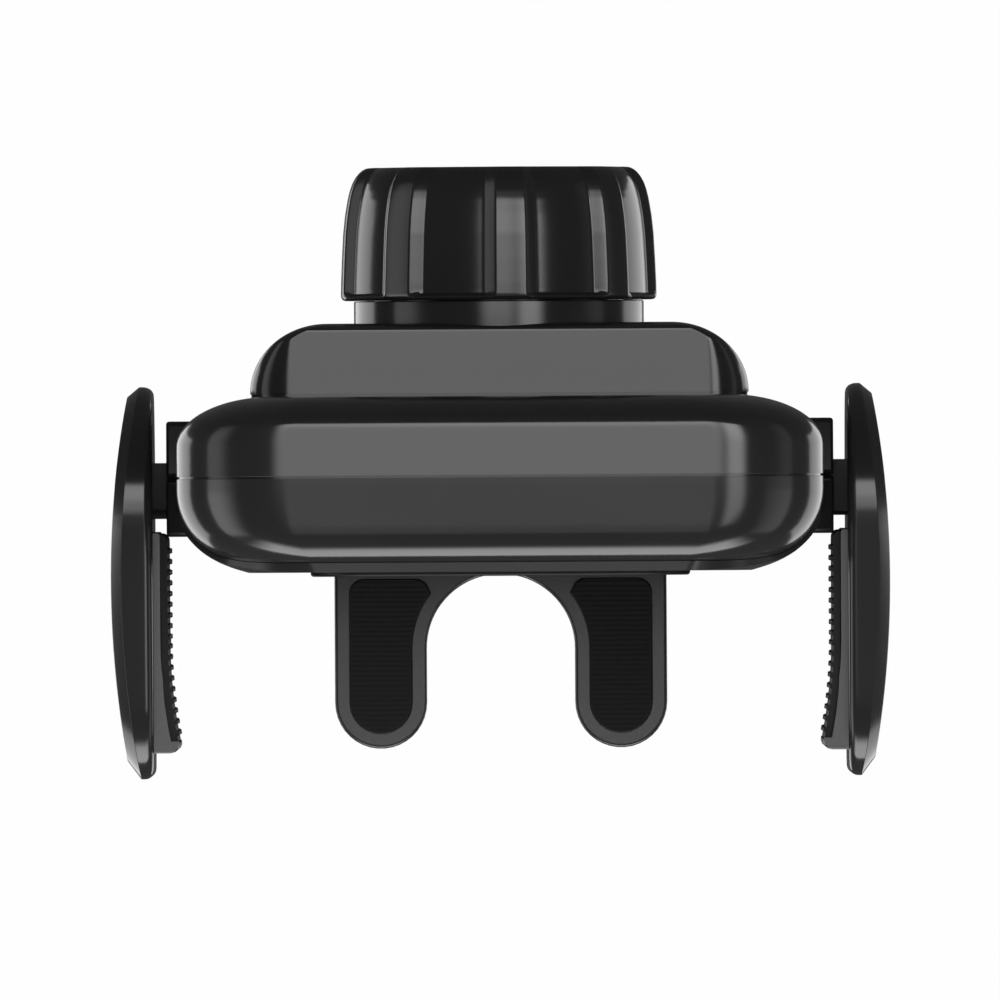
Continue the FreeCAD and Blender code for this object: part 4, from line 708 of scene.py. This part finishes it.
def make_nut():
    """Collar nut with ribs: the outside is the crest's radius less the rib's height between the ribs.

    A rib is a plateau within its crest angle that falls away to its root angle, rounded at both edges by
    a blur. Near the bottom lip the ribs run out.
    """
    shape = charger()
    pitch, blur = 2 * math.pi / shape.rib_count, np.radians(0.4)
    local = np.radians(np.concatenate([
        np.linspace(0, 4.9, 5), np.linspace(5.15, 6.05, 5), np.linspace(6.6, 9.2, 4),
        np.linspace(9.75, 10.65, 5), np.linspace(11.6, 22.0, 8)]))
    local = np.concatenate([local, pitch - local[:0:-1]])

    def gone(off):
        """Share of a rib's height that is gone at an angle from its middle."""
        return np.clip((off - shape.rib_crest) / (shape.rib_root - shape.rib_crest), 0, 1)

    off = np.minimum(local, pitch - local)
    fall = np.tile((gone(off - blur) + 2 * gone(off) + gone(off + blur)) / 4, shape.rib_count)
    turned = (shape.rib_turn + np.arange(shape.rib_count)[:, None] * pitch + local).reshape(-1)
    outside = nut_profile()
    run_out = np.clip((outside[:, 1:] + 6.95) / 0.35, 0, 1)
    inside = np.array([[9.6, 6.0], [9.35, 5.9], [9.2, 5.65], [9.2, 4.4], [10.5, 4.4], [10.62, 4.25],
                       [12.68, -0.6], [12.68, -6.9], [12.9, -7.3]])
    radii = np.concatenate([outside[:, :1] - shape.rib_height * fall * run_out, inside[:, :1] + 0 * fall])
    levels = np.concatenate([outside[:, 1], inside[:, 1]])
    grid = points(radii * np.sin(turned), levels, radii * np.cos(turned))
    piece("grip_nut", loop_solid(grid), "nut", "collar_nut", ["collar_nut"], sharp=50.0)


# Arms


def arm_outline(inset, steps=16):
    """Outline of an arm seen from its side, as depth and height, a distance inside its edge.

    Four corner arcs joined by straight runs, whose ends lean in towards the phone's side.
    """
    back, front, half, near, far, lean_start = 15.8, 55.0, 22.5, 7.0, 13.0, 25.0
    arcs = [arc_points((depth, ARMS_UP + way * (half - radius)), radius - inset, first, first + 90, steps)
            for depth, way, radius, first in ((front - near, 1, near, 0), (back + far, 1, far, 90),
                                              (back + far, -1, far, 180), (front - near, -1, near, 270))]
    share = np.linspace(0, 1, 14)[1:-1, None]
    runs = [arc[-1] * (1 - share) + following[0] * share for arc, following in zip(arcs, arcs[1:] + arcs[:1])]
    depth, up = np.concatenate([part for pair in zip(arcs, runs) for part in pair]).T
    off = np.abs(up - ARMS_UP)
    lean = (math.tan(charger().arm_lean) * np.clip(depth - lean_start, 0, None)
            * np.clip((off - half / 2) / (half / 2), 0, 1))
    return np.stack([depth, ARMS_UP + np.sign(up - ARMS_UP) * (off - lean)], -1)


def make_arm_cover(name, side):
    """Bowed arm: rings of its outline from the inner face out, then over the bevel and the bowed face.

    The outer face lies on a circle of the arm's curve about an axis along Z.
    """
    shape = charger()
    inner_face, bulge, bulge_depth, edge = low("arm_cover_right")[0], high("arm_cover_right")[0], 35.3, 0.9
    widen_start, widen_run = 23.5, 5.0

    def bevelled(share):
        """Outline at a share of the bevel, which widens from the rear half to the phone's side."""
        narrow, wide = arm_outline(share * shape.arm_back_bevel), arm_outline(share * shape.arm_bevel)
        widened = np.clip((narrow[:, :1] - widen_start) / widen_run, 0, 1)
        return narrow * (1 - widened) + wide * widened

    def bow(depth):
        """Distance of the bowed face from the middle plane at a depth."""
        return bulge - shape.arm_curve + np.sqrt(shape.arm_curve ** 2 - (depth - bulge_depth) ** 2)

    rings = [(arm_outline(inset), inner_face) for inset in (6.0, 3.0)]
    rings += [(arm_outline(inset), inner_face + drop) for inset, drop in list(zip(*rounding(edge, 8)))[::-1]]
    faced = [(bevelled(0.0), shape.arm_bevel_drop + 0.04), (bevelled(0.03), shape.arm_bevel_drop - 0.02),
             (bevelled(0.96), 0.05), (bevelled(1.02), 0.0)]
    faced += [(arm_outline(inset), 0.0) for inset in (3.0, 5.0, 6.6)]
    rings += [(ring, np.maximum(bow(ring[:, 0]) - below, inner_face + edge + 0.02)) for ring, below in faced]
    last = faced[-1][0]
    middle = np.stack([last[:, 0], 0 * last[:, 0] + ARMS_UP], -1)
    rings += [(last * (1 - share) + middle * share, bow(last[:, 0])) for share in (0.25, 0.5, 0.75, 1.0)]
    outlines = np.array([ring for ring, level in rings])
    levels = np.array([np.broadcast_to(level, len(last)) for ring, level in rings])
    grid = arm_side(points(levels, -outlines[..., 0], outlines[..., 1])[:, ::-1], side)
    piece("arm_shell_" + name, ring_solid(grid), "arm", name + "_arm", ["arm_cover_" + name], sharp=30.0)


# Depth at which the grips' straight run ends and their inward curve starts, and the straight run's distance
# from the middle plane
GRIP_BEND, GRIP_SIDE = 41.3, 33.25
# Distance from the grip's surface at which the rubber sits on its carrier
GRIP_SEAT = 0.75


def grip_line(offset, depth):
    """Distance of the grip's surface from the middle plane: straight, then on a circle."""
    curve = charger().grip_curve
    past = np.clip(depth - GRIP_BEND, 0, None)
    return GRIP_SIDE + offset - (curve - np.sqrt(curve ** 2 - past ** 2))


def extruded(section, low_up, high_up, rim):
    """Rings of one section stacked along Z. Both end rings are drawn in by the rim to break the edge."""
    centre = section.mean(0)
    toward = section - centre
    away = np.linalg.norm(toward, axis=1, keepdims=True)
    drawn = centre + toward * (1 - rim / np.maximum(away, 3 * rim))
    rings = np.stack([drawn, section, section, drawn])
    return points(rings[..., 0], -rings[..., 1], [low_up, low_up + rim, high_up - rim, high_up])


def make_carrier(name, side):
    """Rigid carrier behind the grip: a wedge that follows the grip's curve, with a toe past its end."""
    depths = np.linspace(GRIP_BEND, 51.36, 14)
    seat = np.stack([grip_line(GRIP_SEAT, depths), depths], -1)
    toe = grip_line(-0.05, 51.6)
    section = np.concatenate([[[34.7, 52.4], [toe + 0.9, 52.4], [toe + 0.45, 52.28], [toe + 0.12, 51.98],
                               [toe, 51.6], [toe + 0.02, 51.36]], seat[::-1],
                              [[34.0, 30.7], [34.05, 30.4], [34.2, 30.3], [34.7, 30.3]]])
    grid = arm_side(extruded(section, -25.0, 13.0, 0.15), side)
    piece("grip_carrier_" + name, ring_solid(grid), "carrier", name + "_arm", ["pad_carrier_" + name])


def make_grip(name, side):
    """Rubber grip: a sheet on the carrier whose face rises in rounded ribs across the grip.

    The face is the grip's line less a rib's height times a flat-topped wave along the depth.
    """
    first, pitch, rib_height, half_crest, flank = 32.15, 1.075, 0.25, 0.16, 0.09
    count = charger().grip_ribs
    depth = np.linspace(31.3, 51.0, 520)
    phase = np.abs((depth - first + pitch / 2) % pitch - pitch / 2)
    within = (depth > first - pitch / 2) & (depth < first + pitch * (count - 0.5))
    rise = np.clip((half_crest + flank - phase) / flank, 0, 1) * within
    face = np.stack([grip_line(0.0, depth) - rib_height * rise, depth], -1)
    back_end = np.array([[34.0, 30.45], [33.75, 30.47], [33.52, 30.58], [33.4, 30.72], [33.3, 30.9],
                         [33.26, 31.1]])
    lip = np.array([[grip_line(0.0, 51.2), 51.2], [grip_line(0.1, 51.3), 51.3],
                    [grip_line(GRIP_SEAT, 51.3), 51.33]])
    seat_depths = np.linspace(51.2, GRIP_BEND, 12)
    seat = np.stack([grip_line(GRIP_SEAT, seat_depths), seat_depths], -1)
    section = np.concatenate([back_end, face, lip, seat])[::-1]
    grid = arm_side(extruded(section, -24.5, 12.5, 0.12), side)
    piece("grip_rubber_" + name, ring_solid(grid), "rubber", name + "_arm", ["grip_pad_" + name], sharp=45.0)


# Foot


def fork_outline(inset, steps=20):
    """Outline of the forked foot as X and depth, a distance inside its edge."""
    shape = charger()
    notch, half, back = shape.foot_notch, shape.foot_half_width, 29.0 + inset
    prong, middle = (half - notch) / 2, (half + notch) / 2
    right, left = [arc_points((side * middle, shape.foot_end - prong), prong - inset, 0, 180, steps)
                   for side in (1, -1)]
    arch = arc_points((0, shape.foot_notch_depth), notch + inset, 0, -180, 2 * steps)
    return np.concatenate([[[half - inset, back]], right, arch, left, [[-half + inset, back]]])


def inlay_outline(gap, steps=16):
    """Outline of the right prong's inlay as X and depth: round end, straight sides and the arch."""
    shape = charger()
    notch, half, arch_depth = shape.foot_notch, shape.foot_half_width, shape.foot_notch_depth
    rim = shape.foot_rim + gap
    inner, top, corner = notch + rim, 35.2 + gap, 1.5
    prong, middle = (half - notch) / 2, (half + notch) / 2
    shoulder = top + corner
    meet = math.sqrt(inner ** 2 - (arch_depth - shoulder) ** 2)
    return np.concatenate([
        arc_points((middle, shape.foot_end - prong), prong - rim, 0, 180, steps),
        arc_points((0, arch_depth), inner, 0, math.degrees(math.atan2(shoulder - arch_depth, meet)), steps),
        [[meet + 0.5, top + 0.45], [meet + 1.2, top]],
        arc_points((half - rim - corner, shoulder), corner, -90, 0, 8)])


def layered(outline_at, levels):
    """Rings of an outline (X, depth) at heights, each (height, inset)."""
    rings = np.array([outline_at(inset) for height, inset in levels])
    return points(rings[..., 0], -rings[..., 1], [height for height, inset in levels])[:, ::-1]


def rounded_top(top, rim, drawn=0.0):
    """Heights and insets over a round rim up to a top face."""
    return [(top - drop, drawn + inset) for inset, drop in zip(*rounding(rim))]


def make_foot():
    """Forked plate with rounded rims and recessed seats, and the stem that slides in the housing."""
    thick, rim, recess = 3.0, 0.35, 1.0
    bottom, stem_top = low("foot_bracket")[2], high("foot_bracket")[2]
    top = bottom + thick
    upper = rounded_top(top, rim)
    levels = [(bottom + top - height, inset) for height, inset in upper[::-1]] + upper
    seat = layered(inlay_outline, [(top - recess, 0.0), (top + recess, 0.0)])
    piece("foot_fork", ring_solid(layered(fork_outline, levels)), "foot", "foot", ["foot_bracket"],
          cutters=[ring_solid(seat), ring_solid(mirrored(seat))])
    across, up = rounded_rings(9.5, 1.1, np.array([0.2, 0.4, 0.4, 0.2]), -30.1, 5)
    heights = [bottom + 1.0, bottom + 1.4, stem_top - 0.3, stem_top]
    piece("foot_stem", ring_solid(points(across, up, heights)), "foot", "foot")


def make_inlay(name, side):
    """Rubber inlay on one prong, a little proud of the foot, with a rounded rim."""
    node = "foot_pad_" + name
    play, rim = 0.05, 0.12
    grid = layered(inlay_outline, [(low(node)[2], play)] + rounded_top(high(node)[2], rim, play))
    if side < 0:
        grid = mirrored(grid)
    piece("foot_inlay_" + name, ring_solid(grid), "inlay", "foot", [node])


# Studio

# Drop of the floor below the model's middle, and the place along Y that the camera looks at, in metres
FLOOR_DROP, VIEW_BACK = 0.9, -0.0273


def make_floor():
    """Pale floor well below the object, which keeps a faint soft shadow. From below it is clear.

    Reflections see it dimmed, so that black plastic stays black at its rims.
    """
    reach, level = 30.0 / MM, -FLOOR_DROP / MM
    floor = mesh_object("studio_floor", [(-reach, -reach, level), (reach, -reach, level),
                                         (reach, reach, level), (-reach, reach, level)], [(0, 1, 2, 3)])
    paper = Finish("studio_paper")
    matt = paper.add("ShaderNodeBsdfDiffuse", {
        "Color": paper.mix(paper.noise(40.0), opaque((0.66, 0.66, 0.66)), opaque((0.7, 0.7, 0.7)))})
    camera, glossy, through = [paper.add("ShaderNodeLightPath", output=ray) for ray in
                               ("Is Camera Ray", "Is Glossy Ray", "Is Transmission Ray")]
    glow = paper.add("ShaderNodeEmission", {"Color": opaque((1.0, 1.0, 1.0)),
                                            "Strength": 1 - 0.92 * glossy})
    above = paper.add("ShaderNodeMixShader", {0: 0.97 * camera + glossy + through, 1: matt, 2: glow})
    clear = paper.add("ShaderNodeBsdfTransparent")
    below = paper.add("ShaderNodeNewGeometry", output="Backfacing")
    paper.add("ShaderNodeOutputMaterial", {
        "Surface": paper.add("ShaderNodeMixShader", {0: below, 1: above, 2: clear})})
    paper.material.cycles.emission_sampling = "NONE"
    floor.data.materials.append(paper.material)


def make_surround():
    """Surround of soft boxes drawn by direction, white to the camera.

    A box is a smooth window between two angles across times one between two angles along. Angles run
    from straight up, across towards +X and along towards +Y, in degrees. A window on X or Y itself
    takes the coordinates of the direction.
    """
    world = bpy.data.worlds.new("studio_surround")
    bpy.context.scene.world = world
    world.use_nodes = True
    sky = Tree(world.node_tree)
    right, back, up = [sky.add("ShaderNodeSeparateXYZ", {
        0: sky.add("ShaderNodeTexCoord", output="Generated")}, axis) for axis in "XYZ"]
    across, along = [sky.add("ShaderNodeMath", {0: way, 1: up}, operation="ARCTAN2")
                     for way in (right, back)]

    def step(amount, middle, soft):
        """Smooth step from 0 to 1 round a middle."""
        return sky.add("ShaderNodeMapRange", {"Value": amount, "From Min": middle - soft / 2,
                                              "From Max": middle + soft / 2},
                       interpolation_type="SMOOTHSTEP")

    def window(amount, lowest, highest, soft, unit=math.radians(1)):
        """1 between two places, with soft edges, and 0 outside them."""
        return step(amount, lowest * unit, soft * unit) * (1 - step(amount, highest * unit, soft * unit))

    # Over the object: the bank's even part, its bright right part with a tail, and the highlight at its back
    bank, bright = window(along, -1.2, 24, 3), window(across, 16, 34, 9)
    light = 2.85 * window(across, -13, 12, 12) * bank + 4.2 * bright * bank
    light = light + 2.7 * bright * window(along, -12, -1.2, 3)
    light = light + 1.5 * window(across, -13, 34, 12) * window(along, 8, 24, 6)
    # At both sides: a tall soft box and a brighter one towards the phone
    tall, towards_phone = window(back, -0.6, 0.5, 0.4, 1), window(back, -0.6, -0.04, 0.1, 1)
    for radiance, first, last, box in ((1.0, -105, -70, tall), (1.2, -105, -60, towards_phone),
                                       (0.3, 75, 105, tall), (0.6, 60, 105, towards_phone)):
        light = light + radiance * window(across, first, last, 18) * box
    # In front of the phone's side: the strip that shines along the front shell's edge
    light = light + 5.6 * window(along, -96, -58, 16) * window(right, -0.5, 0.5, 0.35, 1)
    ambient = 0.06
    seen = (sky.add("ShaderNodeLightPath", output="Is Camera Ray")
            + sky.add("ShaderNodeLightPath", output="Is Transmission Ray"))
    sky.add("ShaderNodeOutputWorld", {"Surface": sky.add("ShaderNodeBackground", {
        "Color": opaque((1.0, 1.0, 1.0)), "Strength": seen + (1 - seen) * (ambient + light)})})


def aimed_panel(name, centre, target, size, radiance):
    """Area light of a radiance, at a place in metres, facing a target and unseen by the camera."""
    lamp = bpy.data.lights.new(name, "AREA")
    lamp.shape = "RECTANGLE"
    lamp.size, lamp.size_y = size
    lamp.energy = radiance * size[0] * size[1] * math.pi
    made = linked(name, lamp)
    made.location = centre
    made.visible_camera = False
    way = mathutils.Vector(centre) - mathutils.Vector(target)
    made.rotation_euler = way.to_track_quat("Z", "Y").to_euler()
    return made


def make_lights():
    """Strips low at both sides, a dim one close over the front, and a soft fill without reflections."""
    middle = np.array([0.0, VIEW_BACK, 0.0])
    distance, angle_from_top, shift = 0.55, math.radians(140), np.array([0.0, 0.06, 0.0])
    for name, side, radiance in (("left", -1, 1.8), ("right", 1, 1.6)):
        way = np.array([side * math.sin(angle_from_top), 0.0, math.cos(angle_from_top)])
        aimed_panel("rim_strip_" + name, middle + distance * way - shift, middle, (0.45, 0.44), radiance)
    aimed_panel("front_strip", (0.0, -0.046, 0.156), (0.0, -0.046, 0.0), (0.056, 0.038), 0.55)
    fill = aimed_panel("fill_box", (0.0, -0.6, 1.6), middle, (2.4, 2.4), 0.9)
    fill.visible_glossy = False


def make_camera():
    """Long lens over the top end, where the photograph was taken, rolled a little."""
    distance, view_width, roll = 4.6, 0.1001, math.radians(-0.35)
    camera = linked("camera", bpy.data.cameras.new("camera"))
    camera.data.sensor_width = 36.0
    camera.data.lens = camera.data.sensor_width * distance / view_width
    camera.data.clip_start, camera.data.clip_end = 0.01, 100.0
    camera.location = (0.0, VIEW_BACK, distance)
    camera.rotation_euler = (0.0, 0.0, roll)
    bpy.context.scene.camera = camera


# Operators


class CHARGER_OT_finishes(Operator):
    """Make the finishes and give them to the nodes that show as they are"""

    bl_idname = "charger.finishes"
    bl_label = "Finishes"

    def execute(self, context):
        make_finishes()
        for node, finish in KEPT_NODES.items():
            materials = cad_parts[node].data.materials
            materials.clear()
            materials.append(FINISHES[finish])
        return {"FINISHED"}


class CHARGER_OT_housing(Operator):
    """Make the rear and front shells with the bosses that the arms slide out of"""

    bl_idname = "charger.housing"
    bl_label = "Housing"

    def execute(self, context):
        housing = Housing()
        make_rear_shell(housing)
        make_front_shell(housing)
        make_tongue(housing)
        boss_back, boss_front = 19.25, 30.8
        for name, side in SIDES:
            make_boss(housing, "rear_boss_" + name, side, boss_back, housing.parting)
            make_boss(housing, "front_boss_" + name, side, housing.front_lip, boss_front)
        return {"FINISHED"}


class CHARGER_OT_front(Operator):
    """Make the front panel and the pad that the phone rests on"""

    bl_idname = "charger.front"
    bl_label = "Front panel and pad"

    def execute(self, context):
        make_panel(Housing())
        make_front_pad()
        return {"FINISHED"}


class CHARGER_OT_joint(Operator):
    """Make the hump, the split socket and the collar nut"""

    bl_idname = "charger.joint"
    bl_label = "Ball joint"

    def execute(self, context):
        make_hump()
        make_stem()
        make_nut()
        return {"FINISHED"}


class CHARGER_OT_arms(Operator):
    """Make the arm covers, the carriers and the rubber grips"""

    bl_idname = "charger.arms"
    bl_label = "Arms"

    def execute(self, context):
        for name, side in SIDES:
            make_arm_cover(name, side)
            make_carrier(name, side)
            make_grip(name, side)
        return {"FINISHED"}


class CHARGER_OT_foot(Operator):
    """Make the forked foot and its inlays"""

    bl_idname = "charger.foot"
    bl_label = "Foot"

    def execute(self, context):
        make_foot()
        for name, side in SIDES:
            make_inlay(name, side)
        return {"FINISHED"}


class CHARGER_OT_stage(Operator):
    """Set up the floor, the soft boxes, the pale surround and the camera"""

    bl_idname = "charger.stage"
    bl_label = "Studio"

    def execute(self, context):
        context.scene.view_settings.view_transform = "Standard"
        make_floor()
        make_surround()
        make_lights()
        make_camera()
        return {"FINISHED"}


class CHARGER_PT_panel(Panel):
    """Sidebar panel with the sizes, the finishes and a button for each group of pieces"""

    bl_idname = "CHARGER_PT_panel"
    bl_label = "Car wireless charger"
    bl_space_type = "VIEW_3D"
    bl_region_type = "UI"
    bl_category = "Charger"

    def draw(self, context):
        for step in STEPS:
            self.layout.operator(step.bl_idname)
        for group in (context.scene.charger_shape, context.scene.charger_finish):
            column = self.layout.column()
            for name in group.bl_rna.properties.keys():
                if name not in ("rna_type", "name"):
                    column.prop(group, name, text=name.replace("_", " ").capitalize())


STEPS = (CHARGER_OT_finishes, CHARGER_OT_housing, CHARGER_OT_front, CHARGER_OT_joint, CHARGER_OT_arms,
         CHARGER_OT_foot, CHARGER_OT_stage)
CLASSES = (ChargerShape, ChargerFinish) + STEPS + (CHARGER_PT_panel,)


def register():
    """Register the classes and hang the properties on the scene."""
    for item in CLASSES:
        bpy.utils.register_class(item)
    bpy.types.Scene.charger_shape = PointerProperty(type=ChargerShape)
    bpy.types.Scene.charger_finish = PointerProperty(type=ChargerFinish)


def unregister():
    """Take the properties and the classes away again."""
    del bpy.types.Scene.charger_finish
    del bpy.types.Scene.charger_shape
    for item in reversed(CLASSES):
        bpy.utils.unregister_class(item)


def main():
    """Make the whole charger."""
    register()
    bpy.ops.charger.finishes()
    bpy.ops.charger.housing()
    bpy.ops.charger.front()
    bpy.ops.charger.joint()
    bpy.ops.charger.arms()
    bpy.ops.charger.foot()
    bpy.ops.charger.stage()
    bpy.context.view_layer.update()


if __name__ == "__main__":
    main()
